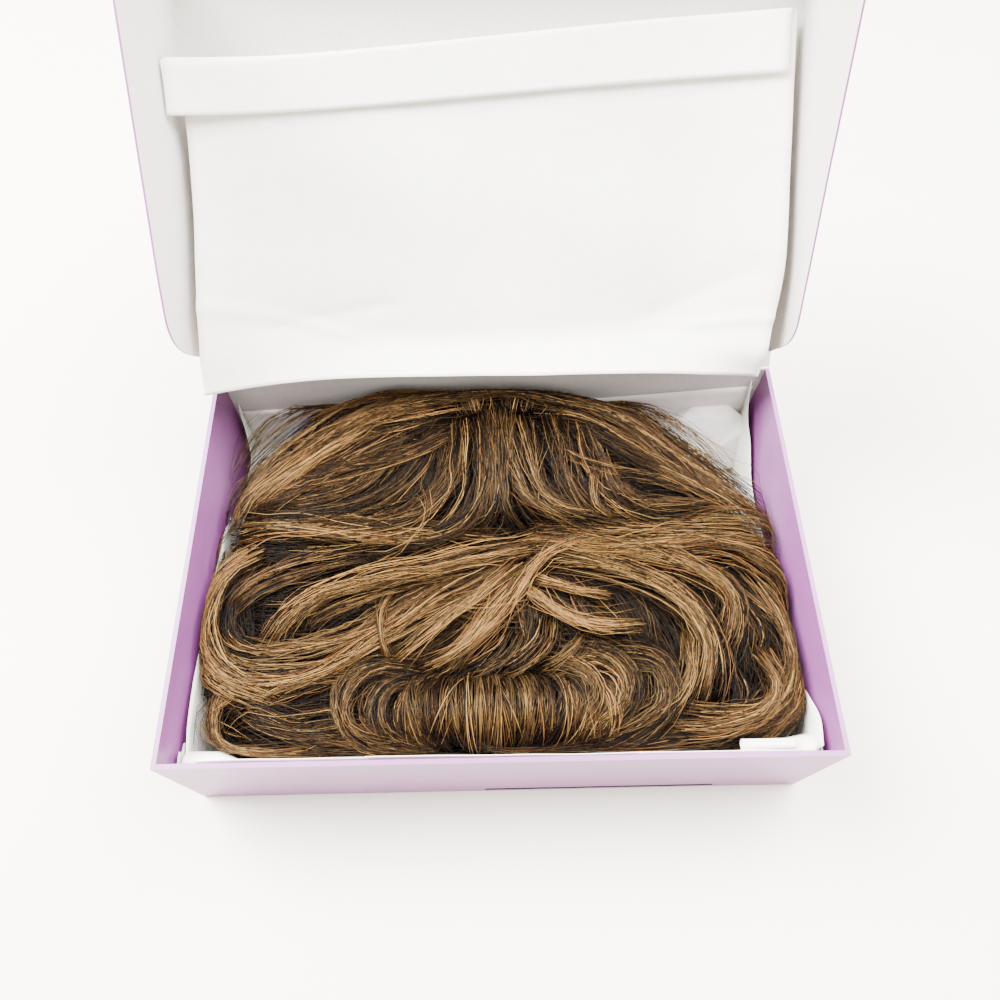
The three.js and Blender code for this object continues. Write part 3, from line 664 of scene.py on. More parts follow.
def lock_fibres(lock, path, count, steps, settings, random, under):
    """Fibres of one lock, gathered in strands, with some that leave their strand.

    The under layer is wider and deeper, darker by painted shade, and fills the gaps between the locks.
    """
    half = lock.width * MM / 2 * (UNDER_WIDTH if under else 1.0)
    strands = max(FEWEST_STRANDS, int(half / STRAND_WIDTH))
    # Each fibre's strand gives it a place across the lock, a depth, a tone, a slope and a wave
    strand = random.randint(0, strands, count)
    place = np.clip(random.normal(0, 0.52, strands), -1.15, 1.15)[strand]
    deep = random.uniform(0, 1, strands)[strand] * 0.6 + random.uniform(0, 0.4, count)
    light = random.normal(0, 0.10, strands)[strand] + random.normal(0, 0.21, count)
    slope = random.normal(0, 0.05, strands)[strand] + random.normal(0, 0.025, count)
    phase = random.uniform(0, 2 * math.pi, strands)[strand]
    loose = random.uniform(0, 1, count) < LOOSE_SHARE
    own = random.normal(0, 1, count) * np.where(loose, 0.35 * half + 1.2 * MM, 0.9 * MM)
    slope = slope + loose * random.normal(0, 0.12, count)
    x, y = to_plan(path[:, 0], path[:, 1])
    length = np.hypot(np.diff(x), np.diff(y)).sum()
    # Fibres start and stop at different places along the lock
    start = random.beta(1, 3, count) * 0.35
    stop = 1 - random.beta(1, 3, count) * 0.4
    share = start[:, None] + (stop - start)[:, None] * np.linspace(0, 1, steps)[None, :]
    # How far they lie beside the lock's path: strands gather at its ends, slant and wave
    gather = 0.5 + 0.5 * np.sin(np.pi * (0.08 + 0.87 * share)) ** 0.7
    offset = (place * half)[:, None] * gather + own[:, None]
    offset = offset + np.tan(slope)[:, None] * (share - 0.5) * length
    travel = share * length
    pitch = random.uniform(45 * MM, 90 * MM, strands)[strand][:, None]
    offset = offset + 0.8 * MM * np.sin(2 * math.pi * travel / pitch + phase[:, None])
    fine_pitch = random.uniform(16 * MM, 45 * MM, count)[:, None]
    fine_wave = np.where(loose, 0.9, 0.3)[:, None] * MM
    shift = random.uniform(0, 2 * math.pi, count)[:, None]
    offset = offset + fine_wave * np.sin(2 * math.pi * travel / fine_pitch + shift)
    fine = np.linspace(0, 1, len(x))
    along_x, along_y = np.gradient(x), np.gradient(y)
    size = np.hypot(along_x, along_y)
    px = np.interp(share, fine, x) - np.interp(share, fine, along_y / size) * offset
    py = np.interp(share, fine, y) + np.interp(share, fine, along_x / size) * offset
    across, along = to_shares(px, py)
    if under:
        across = np.clip(across, left_edge(along), right_edge(along))
        px, _ = to_plan(across, along)
    surface = hair_height(across, along, settings.crown_height)
    side = np.clip(offset / (half + 2 * MM), -1, 1)
    if under:
        z = surface - (1.5 + 3.5 * deep[:, None]) * MM
    else:
        arch = np.sin(np.pi * (0.06 + 0.88 * share)) ** 0.6 * np.sqrt(1 - 0.9 * side ** 2)
        z = surface + lock.lift * settings.relief * MM * arch - 1.8 * MM * deep[:, None]
        z = z + np.where(loose, random.uniform(0, 1.8, count), 0)[:, None] * MM
        # Each fibre comes up from under its neighbours, so that no lock starts with a cut end
        emerged = smoothstep(0, 0.16, np.linspace(0, 1, steps))[None, :]
        z = z - SUNK_START * (1 - emerged) * np.where(share > 0.08, 1.0, 0.5)
    z = z + 0.4 * MM * np.sin(2 * math.pi * travel / fine_pitch + 2 * shift)
    z = np.minimum(z, settings.ceiling - random.uniform(0, 1.2, count)[:, None] * MM)
    px, py = as_seen(px, py, z)
    px, py = stay_in_box(px, py, random.uniform(0.6, 3.0, count)[:, None] * MM)
    widths = settings.fibre_width / 2 * random.uniform(0.6, 1.2, count)[:, None]
    widths = widths * np.where(loose, 0.75, 1.0)[:, None] * (1 - 0.6 * smoothstep(0.8, 1.0, share))
    # Deep fibres and the under layer are darkened: painted shade; the glints are painted highlights
    tone = lock.tone + light - DEPTH_SHADE * deep - (UNDER_SHADE if under else 0.0)
    tone = tone + np.where(random.uniform(0, 1, count) < GLINT_SHARE, GLINT, 0)
    # Lighter midway along, where the lock stands highest: painted highlight; darker towards its edges:
    # painted shade
    tones = tone[:, None] + 0.14 * np.sin(np.pi * share) - 0.05 - 0.08 * np.abs(side)
    return Bundle(np.stack([px, py, z], axis=2), widths, np.clip(tones, 0, 1))


def comb(locks, settings, seed, triangles, under_share=0.32):
    """Bundles of fibres of a table of locks, as many as a number of triangles allows."""
    random = np.random.RandomState(seed)
    paths = [smooth_path(lock.through, 60) for lock in locks]
    lengths, turns = [], []
    for path in paths:
        dx, dy = np.diff(to_plan(path[:, 0], path[:, 1]))
        lengths.append(np.hypot(dx, dy).sum())
        turns.append(np.abs(np.diff(np.unwrap(np.arctan2(dy, dx)))).sum())
    load = np.array([
        length * (lock.width + WIDTH_MARGIN) * lock.weight for lock, length in zip(locks, lengths)])
    load = load / load.sum()
    bundles = []
    for lock, path, length, turn, part in zip(locks, paths, lengths, turns, load):
        stretches = max(length / settings.fibre_step, turn / STRETCH_TURN)
        stretches = int(np.clip(stretches, FEWEST_STRETCHES, MOST_STRETCHES))
        count = triangles * settings.fullness * part / (STRETCH_TRIANGLES * stretches + END_TRIANGLES)
        for under, amount in ((True, under_share), (False, 1 - under_share)):
            if int(count * amount):
                bundles.append(lock_fibres(
                    lock, path, int(count * amount), stretches + 1, settings, random, under))
    return bundles


# Wide dark beds come first in each table, and the locks that lie on them after; the beds' dark tone is
# painted shade in the gaps between the locks
CROWN_LOCKS = [
    Lock([(0.44, 0.96), (0.28, 0.88), (0.15, 0.76), (0.08, 0.64)], 40, 0.0, 0.34, 0.6),
    Lock([(0.58, 0.95), (0.72, 0.85), (0.84, 0.71), (0.90, 0.62)], 40, 0.0, 0.32, 0.6),
    Lock([(0.52, 0.985), (0.38, 0.96), (0.26, 0.91), (0.16, 0.80), (0.09, 0.68), (0.06, 0.60)],
         20, 2.5, 0.62),
    Lock([(0.48, 0.99), (0.34, 0.975), (0.24, 0.945), (0.15, 0.86)], 10, 2.0, 0.72),
    Lock([(0.50, 0.985), (0.62, 0.965), (0.72, 0.90), (0.80, 0.80), (0.88, 0.69), (0.94, 0.60),
          (0.965, 0.53)], 16, 2.5, 0.54),
    Lock([(0.45, 0.96), (0.35, 0.945), (0.26, 0.89), (0.18, 0.79), (0.10, 0.68)], 15, 3.0, 0.60),
    Lock([(0.55, 0.95), (0.65, 0.92), (0.74, 0.84), (0.84, 0.71), (0.92, 0.60)], 17, 3.0, 0.52),
    Lock([(0.22, 0.84), (0.13, 0.75), (0.078, 0.67), (0.052, 0.57)], 15, 3.0, 0.62),
    Lock([(0.30, 0.88), (0.21, 0.80), (0.13, 0.71), (0.07, 0.63)], 9, 4.0, 0.84),
    Lock([(0.74, 0.77), (0.82, 0.70), (0.90, 0.635), (0.95, 0.57)], 13, 3.0, 0.60),
    Lock([(0.33, 0.93), (0.42, 0.955), (0.50, 0.965), (0.58, 0.955), (0.66, 0.93)], 9, 4.0, 0.54),
    Lock([(0.44, 0.99), (0.46, 0.95), (0.47, 0.90)], 26, 3.5, 0.54),
    Lock([(0.56, 0.99), (0.545, 0.95), (0.54, 0.90)], 26, 3.5, 0.50),
]
FRINGE_LOCKS = [
    Lock([(0.45, 0.91), (0.41, 0.75), (0.34, 0.66), (0.20, 0.60)], 62, 1.0, 0.18, 0.5),
    Lock([(0.56, 0.91), (0.60, 0.75), (0.67, 0.66), (0.80, 0.61)], 62, 0.5, 0.16, 0.5),
    Lock([(0.48, 0.62), (0.50, 0.58), (0.54, 0.53)], 42, 0.5, 0.14, 0.6),
    Lock([(0.442, 0.901), (0.437, 0.793), (0.419, 0.671), (0.364, 0.591), (0.269, 0.566),
          (0.152, 0.569)], 15, 5.0, 0.46),
    Lock([(0.473, 0.91), (0.477, 0.793), (0.473, 0.675), (0.445, 0.589), (0.382, 0.547),
          (0.27, 0.539)], 13, 5.0, 0.52),
    Lock([(0.43, 0.87), (0.41, 0.77), (0.38, 0.66), (0.29, 0.60), (0.10, 0.58)], 20, 4.5, 0.46),
    Lock([(0.38, 0.865), (0.36, 0.77), (0.31, 0.68), (0.21, 0.62), (0.07, 0.60)], 20, 4.5, 0.42),
    Lock([(0.33, 0.86), (0.30, 0.77), (0.24, 0.69), (0.12, 0.64)], 18, 4.0, 0.50),
    Lock([(0.38, 0.855), (0.28, 0.79), (0.18, 0.70), (0.07, 0.62)], 18, 3.5, 0.42),
    Lock([(0.44, 0.86), (0.34, 0.78), (0.24, 0.74), (0.12, 0.70)], 14, 4.5, 0.46),
    Lock([(0.49, 0.948), (0.492, 0.823), (0.494, 0.703), (0.481, 0.607), (0.44, 0.548)], 12, 5.5, 0.48),
    Lock([(0.504, 0.954), (0.506, 0.822), (0.508, 0.709), (0.517, 0.618), (0.544, 0.556)], 9, 6.0, 0.58),
    Lock([(0.524, 0.941), (0.527, 0.822), (0.536, 0.717), (0.556, 0.636), (0.594, 0.572)], 11, 5.0, 0.44),
    Lock([(0.544, 0.909), (0.55, 0.791), (0.563, 0.69), (0.595, 0.621), (0.66, 0.584),
          (0.749, 0.573)], 14, 5.5, 0.5),
    Lock([(0.51, 0.721), (0.543, 0.659), (0.59, 0.607), (0.64, 0.579)], 7, 6.5, 0.7),
    Lock([(0.679, 0.758), (0.667, 0.685), (0.676, 0.619), (0.716, 0.579)], 9, 6.0, 0.62, 0.8),
    Lock([(0.691, 0.77), (0.705, 0.687), (0.737, 0.618)], 7, 6.0, 0.6, 0.8),
    Lock([(0.60, 0.91), (0.62, 0.78), (0.64, 0.68), (0.68, 0.61), (0.76, 0.59)], 17, 4.5, 0.44),
    Lock([(0.65, 0.89), (0.67, 0.76), (0.70, 0.66), (0.76, 0.60), (0.86, 0.585)], 14, 4.5, 0.56),
    Lock([(0.62, 0.90), (0.70, 0.83), (0.78, 0.74), (0.86, 0.66)], 20, 2.5, 0.30),
    Lock([(0.70, 0.77), (0.73, 0.69), (0.79, 0.63), (0.90, 0.60)], 16, 0.5, 0.14, 0.6),
    Lock([(0.66, 0.71), (0.76, 0.70), (0.86, 0.655), (0.94, 0.60)], 9, 3.0, 0.44, 0.6),
    Lock([(0.70, 0.62), (0.80, 0.635), (0.91, 0.62)], 9, 3.5, 0.54, 0.8),
]
LEFT_LOCKS = [
    Lock([(0.52, 0.50), (0.36, 0.43), (0.20, 0.37), (0.07, 0.38)], 48, 0.0, 0.20, 0.45),
    Lock([(0.52, 0.42), (0.42, 0.28), (0.28, 0.20), (0.10, 0.11)], 48, 0.0, 0.20, 0.45),
    Lock([(0.46, 0.06), (0.30, 0.07), (0.10, 0.07)], 28, 0.0, 0.20, 0.6),
    Lock([(0.10, 0.52), (0.06, 0.35), (0.09, 0.14)], 30, 0.0, 0.26, 0.5),
    Lock([(0.05, 0.565), (0.12, 0.582), (0.20, 0.567), (0.30, 0.547), (0.42, 0.542)], 9, 5.0, 0.77),
    Lock([(0.05, 0.60), (0.16, 0.605), (0.28, 0.588), (0.40, 0.567), (0.52, 0.55)], 12, 3.5, 0.59),
    Lock([(0.05, 0.53), (0.15, 0.52), (0.28, 0.507), (0.42, 0.512), (0.55, 0.53)], 12, 0.5, 0.20),
    Lock([(0.30, 0.495), (0.19, 0.465), (0.11, 0.42), (0.065, 0.36)], 14, 3.0, 0.57),
    Lock([(0.12, 0.515), (0.06, 0.465), (0.03, 0.38), (0.033, 0.29), (0.07, 0.21), (0.17, 0.145)],
         16, 5.5, 0.81, 1.1),
    Lock([(0.09, 0.48), (0.07, 0.39), (0.078, 0.31), (0.12, 0.25)], 13, 1.0, 0.26, 0.8),
    Lock([(0.03, 0.29), (0.085, 0.225), (0.17, 0.213), (0.25, 0.25), (0.32, 0.31), (0.40, 0.38),
          (0.54, 0.475)], 14, 5.5, 0.77, 1.1),
    Lock([(0.05, 0.32), (0.08, 0.278), (0.13, 0.26), (0.20, 0.27), (0.27, 0.30), (0.35, 0.365),
          (0.46, 0.44)], 10, 4.5, 0.69),
    Lock([(0.60, 0.54), (0.44, 0.485), (0.31, 0.443), (0.21, 0.40), (0.16, 0.34), (0.13, 0.26)],
         14, 5.5, 0.79, 1.1),
    Lock([(0.54, 0.50), (0.41, 0.455), (0.29, 0.405), (0.20, 0.35), (0.18, 0.30)], 13, 2.5, 0.51),
    Lock([(0.38, 0.44), (0.28, 0.375), (0.21, 0.33), (0.17, 0.29)], 16, 0.5, 0.18, 0.7),
    Lock([(0.335, 0.415), (0.312, 0.36), (0.315, 0.29), (0.335, 0.22)], 4.5, 6.5, 0.83, 1.3),
    Lock([(0.54, 0.48), (0.45, 0.375), (0.385, 0.30), (0.325, 0.232)], 9, 5.5, 0.75),
    Lock([(0.55, 0.475), (0.48, 0.35), (0.43, 0.26), (0.375, 0.212)], 9, 5.0, 0.73),
    Lock([(0.714, 0.544), (0.638, 0.535), (0.579, 0.491), (0.532, 0.4), (0.486, 0.317), (0.437, 0.254),
          (0.391, 0.208)], 10, 5.0, 0.75),
    Lock([(0.075, 0.20), (0.06, 0.13), (0.075, 0.06), (0.15, 0.035), (0.24, 0.04)], 9, 4.0, 0.71),
    Lock([(0.11, 0.14), (0.17, 0.18), (0.23, 0.21), (0.30, 0.225)], 11, 4.0, 0.67),
    Lock([(0.08, 0.10), (0.12, 0.135), (0.18, 0.11), (0.24, 0.125), (0.29, 0.10)], 16, 3.0, 0.34),
    Lock([(0.09, 0.15), (0.14, 0.105), (0.21, 0.075), (0.29, 0.085), (0.36, 0.04)], 12, 3.5, 0.36, 0.8),
    Lock([(0.09, 0.05), (0.20, 0.05), (0.30, 0.045), (0.40, 0.03)], 12, 2.0, 0.30),
    Lock([(0.14, 0.10), (0.22, 0.075), (0.31, 0.06), (0.42, 0.04)], 8, 3.5, 0.59, 0.8),
]
RIGHT_LOCKS = [
    Lock([(0.54, 0.51), (0.66, 0.43), (0.75, 0.30), (0.78, 0.14)], 48, 0.0, 0.23, 0.45),
    Lock([(0.62, 0.53), (0.80, 0.48), (0.90, 0.34), (0.90, 0.15)], 46, 0.0, 0.27, 0.45),
    Lock([(0.55, 0.47), (0.57, 0.33), (0.60, 0.20)], 52, 0.0, 0.23, 0.5),
    Lock([(0.94, 0.48), (0.955, 0.28), (0.88, 0.08), (0.72, 0.04)], 28, 0.0, 0.33, 0.5),
    Lock([(0.54, 0.54), (0.66, 0.517), (0.78, 0.517), (0.88, 0.522), (0.97, 0.50)], 12, 4.5, 0.73),
    Lock([(0.56, 0.565), (0.70, 0.55), (0.82, 0.552), (0.92, 0.552), (0.98, 0.52)], 12, 3.5, 0.55),
    Lock([(0.55, 0.585), (0.66, 0.575), (0.78, 0.583), (0.93, 0.59)], 11, 2.5, 0.43),
    Lock([(0.55, 0.50), (0.69, 0.455), (0.78, 0.39), (0.825, 0.29), (0.82, 0.20), (0.80, 0.12)],
         19, 5.5, 0.71, 1.1),
    Lock([(0.58, 0.525), (0.74, 0.502), (0.85, 0.44), (0.885, 0.37), (0.87, 0.29), (0.84, 0.23)],
         16, 5.0, 0.65, 1.1),
    Lock([(0.70, 0.535), (0.87, 0.515), (0.95, 0.45), (0.972, 0.37), (0.965, 0.28)], 14, 4.0, 0.57),
    Lock([(0.53, 0.43), (0.60, 0.342), (0.66, 0.308), (0.735, 0.303)], 10, 6.5, 0.85, 1.2),
    Lock([(0.55, 0.445), (0.62, 0.405), (0.69, 0.39)], 6.5, 5.5, 0.81, 1.2),
    Lock([(0.90, 0.44), (0.95, 0.32), (0.96, 0.22), (0.93, 0.13), (0.86, 0.07), (0.75, 0.045)],
         14, 5.0, 0.67, 1.1),
    Lock([(0.965, 0.32), (0.972, 0.20), (0.945, 0.11), (0.87, 0.065)], 9, 4.5, 0.71),
    Lock([(0.90, 0.26), (0.93, 0.17), (0.90, 0.105), (0.82, 0.08), (0.73, 0.09)], 10, 5.5, 0.79),
    Lock([(0.80, 0.32), (0.795, 0.20), (0.76, 0.13), (0.68, 0.065)], 13, 4.0, 0.57),
    Lock([(0.54, 0.46), (0.545, 0.34), (0.55, 0.225)], 18, 1.5, 0.35),
    Lock([(0.60, 0.45), (0.63, 0.34), (0.64, 0.25)], 18, 0.5, 0.29),
    Lock([(0.62, 0.48), (0.69, 0.41), (0.72, 0.33), (0.72, 0.24)], 18, 0.5, 0.23, 0.8),
    Lock([(0.643, 0.298), (0.609, 0.251), (0.562, 0.201)], 15, 4.5, 0.51),
    Lock([(0.578, 0.348), (0.568, 0.281), (0.533, 0.228), (0.495, 0.199)], 15, 4.5, 0.49),
    Lock([(0.667, 0.278), (0.643, 0.236), (0.607, 0.205)], 12, 3.5, 0.45),
    Lock([(0.532, 0.318), (0.512, 0.259), (0.474, 0.218), (0.44, 0.196)], 14, 4.0, 0.45),
    Lock([(0.86, 0.22), (0.875, 0.15), (0.85, 0.10), (0.79, 0.07)], 12, 1.0, 0.27, 0.8),
    Lock([(0.87, 0.07), (0.76, 0.045), (0.66, 0.035), (0.57, 0.03)], 11, 2.5, 0.43),
    Lock([(0.76, 0.48), (0.86, 0.41), (0.91, 0.31), (0.90, 0.22)], 15, 1.5, 0.37),
]
LEFT_CURL_LOCKS = [
    Lock([(0.385, 0.21), (0.31, 0.222), (0.268, 0.18), (0.268, 0.11), (0.31, 0.06), (0.40, 0.03)],
         14, 5.0, 0.56),
    Lock([(0.395, 0.195), (0.335, 0.18), (0.315, 0.125), (0.335, 0.07), (0.405, 0.03)], 14, 4.0, 0.42),
    Lock([(0.41, 0.20), (0.37, 0.15), (0.365, 0.09), (0.41, 0.03)], 16, 3.5, 0.38),
    Lock([(0.30, 0.17), (0.30, 0.10), (0.36, 0.05)], 18, 0.0, 0.18, 0.6),
]
RIGHT_CURL_LOCKS = [
    Lock([(0.58, 0.235), (0.65, 0.245), (0.69, 0.20), (0.685, 0.13), (0.61, 0.045)], 15, 5.5, 0.56),
    Lock([(0.67, 0.265), (0.748, 0.23), (0.755, 0.13), (0.70, 0.075), (0.62, 0.045)], 16, 4.5, 0.46),
    Lock([(0.56, 0.225), (0.625, 0.21), (0.645, 0.14), (0.60, 0.05)], 13, 6.0, 0.54),
    Lock([(0.72, 0.22), (0.72, 0.13), (0.65, 0.06)], 16, 0.0, 0.18, 0.6),
]
WISPS = [
    Lock([(0.29, 0.985), (0.13, 0.93), (0.065, 0.83), (0.052, 0.70)], 9, 3.0, 0.62),
    Lock([(0.33, 0.99), (0.18, 0.94), (0.09, 0.83), (0.06, 0.72)], 7, 3.0, 0.55),
    Lock([(0.52, 0.985), (0.65, 0.975), (0.75, 0.94), (0.82, 0.88), (0.88, 0.78), (0.90, 0.68)],
         5, 3.0, 0.58, 1.6),
    Lock([(0.60, 0.975), (0.72, 0.94), (0.80, 0.87), (0.87, 0.75)], 9, 3.0, 0.50),
    Lock([(0.42, 0.99), (0.30, 0.99), (0.20, 0.97), (0.12, 0.91)], 8, 3.0, 0.65),
    Lock([(0.80, 0.60), (0.90, 0.60), (0.965, 0.57), (0.978, 0.50)], 14, 4.0, 0.60),
    Lock([(0.06, 0.60), (0.035, 0.52), (0.022, 0.44)], 8, 4.0, 0.60),
    Lock([(0.95, 0.30), (0.975, 0.20), (0.95, 0.12)], 10, 4.0, 0.62),
    Lock([(0.10, 0.18), (0.05, 0.12), (0.06, 0.05)], 10, 3.0, 0.62),
    Lock([(0.43, 0.08), (0.49, 0.04), (0.57, 0.028), (0.66, 0.04)], 14, 4.0, 0.40, 0.4),
    Lock([(0.36, 0.74), (0.38, 0.62), (0.33, 0.52), (0.27, 0.50)], 6, 7.0, 0.80, 0.3),
    Lock([(0.60, 0.80), (0.66, 0.74), (0.76, 0.70)], 12, 7.0, 0.75, 0.3),
    Lock([(0.40, 0.40), (0.47, 0.36), (0.56, 0.37)], 14, 7.0, 0.85, 0.3),
]


# The barrel curl: its axis from front to back, its half depth and height, and its strands
BARREL_ALONG = 0.129
BARREL_REACH = 21.5
BARREL_CLIMB = 18.5
BARREL_STRANDS = 44
# How far its axis lies under the ceiling
BARREL_AXIS_DEPTH = 19.5 * MM
# Its left end and its length along the back and along the front, in shares of the box's width
BARREL_BACK = (0.400, 0.170)
BARREL_FRONT = (0.388, 0.232)
# Its inner fibres lie deeper than the outer ones, and are darker by painted shade
OUTER_FIBRES, INNER_FIBRES = 760, 420
INNER_SINK = 2.5 * MM
INNER_SHADE = 0.2


def barrel_fibres(settings, random, count, steps, sink=0.0, shade=0.0):
    """Fibres that wrap over the barrel curl from behind to the front and bow out to its ends."""
    at = random.uniform(0, 1, count)[:, None] ** 0.85
    strand = np.floor(at * BARREL_STRANDS).astype(int)[:, 0]
    strands = BARREL_STRANDS + 1
    deep = (random.uniform(0, 1, strands)[strand] * 0.5 + random.uniform(0, 0.5, count))[:, None]
    light = (random.normal(0, 0.05, strands)[strand] + random.normal(0, 0.20, count))[:, None]
    loose = (random.uniform(0, 1, count) < LOOSE_SHARE)[:, None]
    share = np.linspace(0, 1, steps)[None, :]
    sweep = random.uniform(150, 215, count)[:, None]
    turn = np.radians(random.normal(-6, 9, count)[:, None] + sweep * share)
    back = BARREL_BACK[0] + BARREL_BACK[1] * at
    front = BARREL_FRONT[0] + BARREL_FRONT[1] * at
    lean = back * (1 - share) + front * share
    middle_x, middle_y = to_plan(lean, BARREL_ALONG)
    # The curl opens to both ends: its fibres bow left on the left and right on the right
    bow = (-15 + 44 * at) * np.sin(np.pi * share ** 0.85) ** 0.7 * MM
    slope = random.normal(0, 3.5, strands)[strand] + random.normal(0, 3.0, count)
    slope = slope[:, None] * np.where(loose, 2.2, 1.0) * (share - 0.5) * MM
    wave = (random.uniform(-1, 1, strands)[strand] * 1.2 + random.normal(0, 0.6, count))[:, None] * MM
    # Two clefts part the curl into its left end, its middle and the arcs on its right; there the fibres
    # dip and are darkened by painted shade
    cleft = np.exp(-((at - 0.72) / 0.03) ** 2) + 0.6 * np.exp(-((at - 0.15) / 0.04) ** 2)
    swell = 0.93 + 0.04 * np.sin(at * 19) + 0.03 * np.sin(at * 43 + 1)
    dip = 2.6 * deep + 3.5 * cleft * np.sin(np.pi * share) - np.where(loose, 1.3, 0)
    reach = (BARREL_REACH * swell - dip) * MM - sink
    climb = (BARREL_CLIMB * swell - dip) * MM - sink
    height = settings.ceiling - BARREL_AXIS_DEPTH
    x = middle_x + bow + slope + wave * np.sin(4.5 * share + 9 * at)
    y = middle_y + reach * np.cos(turn)
    z = np.minimum(height + climb * np.sin(turn), settings.ceiling)
    y = np.maximum(y, WIG_FRONT + random.uniform(0, 2, count)[:, None] * MM)
    centres = np.stack(np.broadcast_arrays(x, y, z), axis=2)
    widths = settings.fibre_width / 2 * random.uniform(0.6, 1.2, count)[:, None] + 0 * share
    # A band of painted highlight over the curl's front; painted shade on deeper and inner fibres, in the
    # clefts and where the fibres turn under
    glow = np.exp(-((share - 0.58 - 0.05 * np.sin(at * 31)) / 0.14) ** 2)
    tones = 0.47 + light - 0.34 * deep + 0.34 * glow - 0.28 * cleft - shade
    tones = tones - 0.16 * smoothstep(0.78, 1.0, share)
    ups = np.stack(np.broadcast_arrays(0 * x, y - middle_y, z - height), axis=2)
    return Bundle(centres, widths, np.clip(tones, 0, 1), ups)


def ground_widths(settings, random, count, steps):
    """Widths of the coarse fibres that cover the lower layers."""
    return settings.fibre_width * 0.75 * random.uniform(0.7, 1.2, count)[:, None] * np.ones((1, steps))


def skirt(settings, seed, along_range, count, steps=9):
    """Fibres that lie along the outline, covering the hair's sides down to the paper."""
    random = np.random.RandomState(seed)
    low, high = along_range
    side = random.choice([-1, 1], count)
    start = random.uniform(low, high, count)
    reach = random.uniform(0.10, 0.30, count) * random.choice([-1, 1], count)
    share = np.linspace(0, 1, steps)[None, :]
    along = np.clip(start[:, None] + reach[:, None] * share, low, high)
    edge = np.where(side[:, None] < 0, left_edge(along), right_edge(along))
    level = random.uniform(0.0, 1.0, count)[:, None]
    x, y = to_plan(edge, along)
    x = x - side[:, None] * random.uniform(-0.4, 2.5, count)[:, None] * MM
    surface = hair_height(edge, along, settings.crown_height)
    z = HAIR_FLOOR + 1 * MM + (surface - HAIR_FLOOR - 2 * MM) * level
    z = z + 3 * MM * np.sin(2 * math.pi * share * random.uniform(0.3, 1.0, count)[:, None]
                            + random.uniform(0, 6, count)[:, None])
    z = np.clip(z, HAIR_FLOOR + 0.4 * MM, surface)
    x, y = stay_in_box(x, y)
    centres = np.stack([x, y, z], axis=2)
    widths = ground_widths(settings, random, count, steps)
    # Fibres lower down the sides are darker: painted shade
    tones = 0.12 + 0.30 * level + random.normal(0, 0.10, count)[:, None] + 0 * share
    return Bundle(centres, widths, np.clip(tones, 0, 1))


def end_rows(settings, seed, edge_along, count, steps=8):
    """Fibres that hang over the front or the back of the lower layer, down to the paper."""
    random = np.random.RandomState(seed)
    share = np.linspace(0, 1, steps)[None, :]
    across = left_edge(edge_along) + random.uniform(0, 1, count)[:, None] * (
        right_edge(edge_along) - left_edge(edge_along))
    across = across + random.normal(0, 0.04, count)[:, None] * share
    x, y = to_plan(across, edge_along + 0 * across)
    surface = hair_height(across, edge_along + 0 * across, settings.crown_height)
    z = surface + (HAIR_FLOOR + 1 * MM - surface) * share ** 0.9
    inward = 1 if edge_along < 0.5 else -1
    y = y + inward * random.uniform(0, 2.5, count)[:, None] * MM
    x, y = stay_in_box(x, y)
    centres = np.stack(np.broadcast_arrays(x, y, z), axis=2)
    widths = ground_widths(settings, random, count, steps)
    # Fibres darken as they hang down to the paper: painted shade
    tones = 0.40 - 0.28 * share + random.normal(0, 0.10, count)[:, None]
    return Bundle(centres, widths, np.clip(tones, 0, 1), np.array([0.0, float(inward), 0.0]))


def core(name, along_range, across_range, low, high, settings, columns=40, rows=36):
    """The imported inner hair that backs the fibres: a closed block between two surfaces."""
    along = np.linspace(*along_range, rows)[:, None]
    share = np.linspace(*across_range, columns)[None, :]
    left, right = left_edge(along), right_edge(along)
    across = left + (right - left) * share
    along = along + 0 * across
    x, y = stay_in_box(*to_plan(across, along), 1.5 * MM)
    bottom = low(x, y)
    top = np.maximum(high(x, y, across, along), bottom + 0.3 * MM)
    points = np.concatenate([np.stack([x, y, top], axis=2).reshape(-1, 3),
                             np.stack([x, y, bottom], axis=2).reshape(-1, 3)])
    size = rows * columns
    edge = border(rows, columns)
    after = np.roll(edge, -1)
    rim = np.stack([edge, edge + size, after + size, after], axis=1)[:, ::-1]
    faces = np.concatenate([
        grid_faces(rows, columns), grid_faces(rows, columns, size, flip=True), rim])
    # It takes little room in the bake, since fibres hide it
    shares = np.stack([share + 0 * along, along], axis=2).reshape(-1, 2) * 0.01
    return mesh_object(
        name, points, faces, [material_of(matted_fibre, settings)],
        uv=np.concatenate([shares, shares])[faces].reshape(-1, 2))


def cap_reach(x, y, gap=0.6 * MM):
    """Half the cap's height at a place, 0 outside it."""
    depth = CAP_HIGH[1] - CAP_LOW[1]
    along = np.clip((y - CAP_LOW[1]) / (depth + gap), 0, 1)
    swell = (1 - along ** 2.4) ** (1 / 2.4)
    half_width = (CAP_HIGH[0] - CAP_LOW[0]) / 2 * swell + gap
    half_height = (CAP_HIGH[2] - CAP_LOW[2]) / 2 * swell + gap
    inside = np.clip(1 - ((x + CAP_SKEW * along) / half_width) ** 2, 0, 1)
    return np.where(y > CAP_LOW[1] - gap, half_height * np.sqrt(inside), 0)


def passage_reach(x, y):
    """Half the height of the way in to the cap, 0 beside it."""
    inside = np.clip(1 - (x / PASSAGE_HALF_WIDTH) ** 2, 0, 1)
    return np.where(y <= CAP_LOW[1], PASSAGE_HALF_HEIGHT * np.sqrt(inside), 0)


def over_cap(x, y):
    return CAP_MIDDLE + np.maximum(cap_reach(x, y), passage_reach(x, y))


def under_cap(x, y, across, along):
    return CAP_MIDDLE - 0.4 * MM - np.maximum(cap_reach(x, y), passage_reach(x, y))


def hair_floor(x, y):
    return HAIR_FLOOR + 0 * x


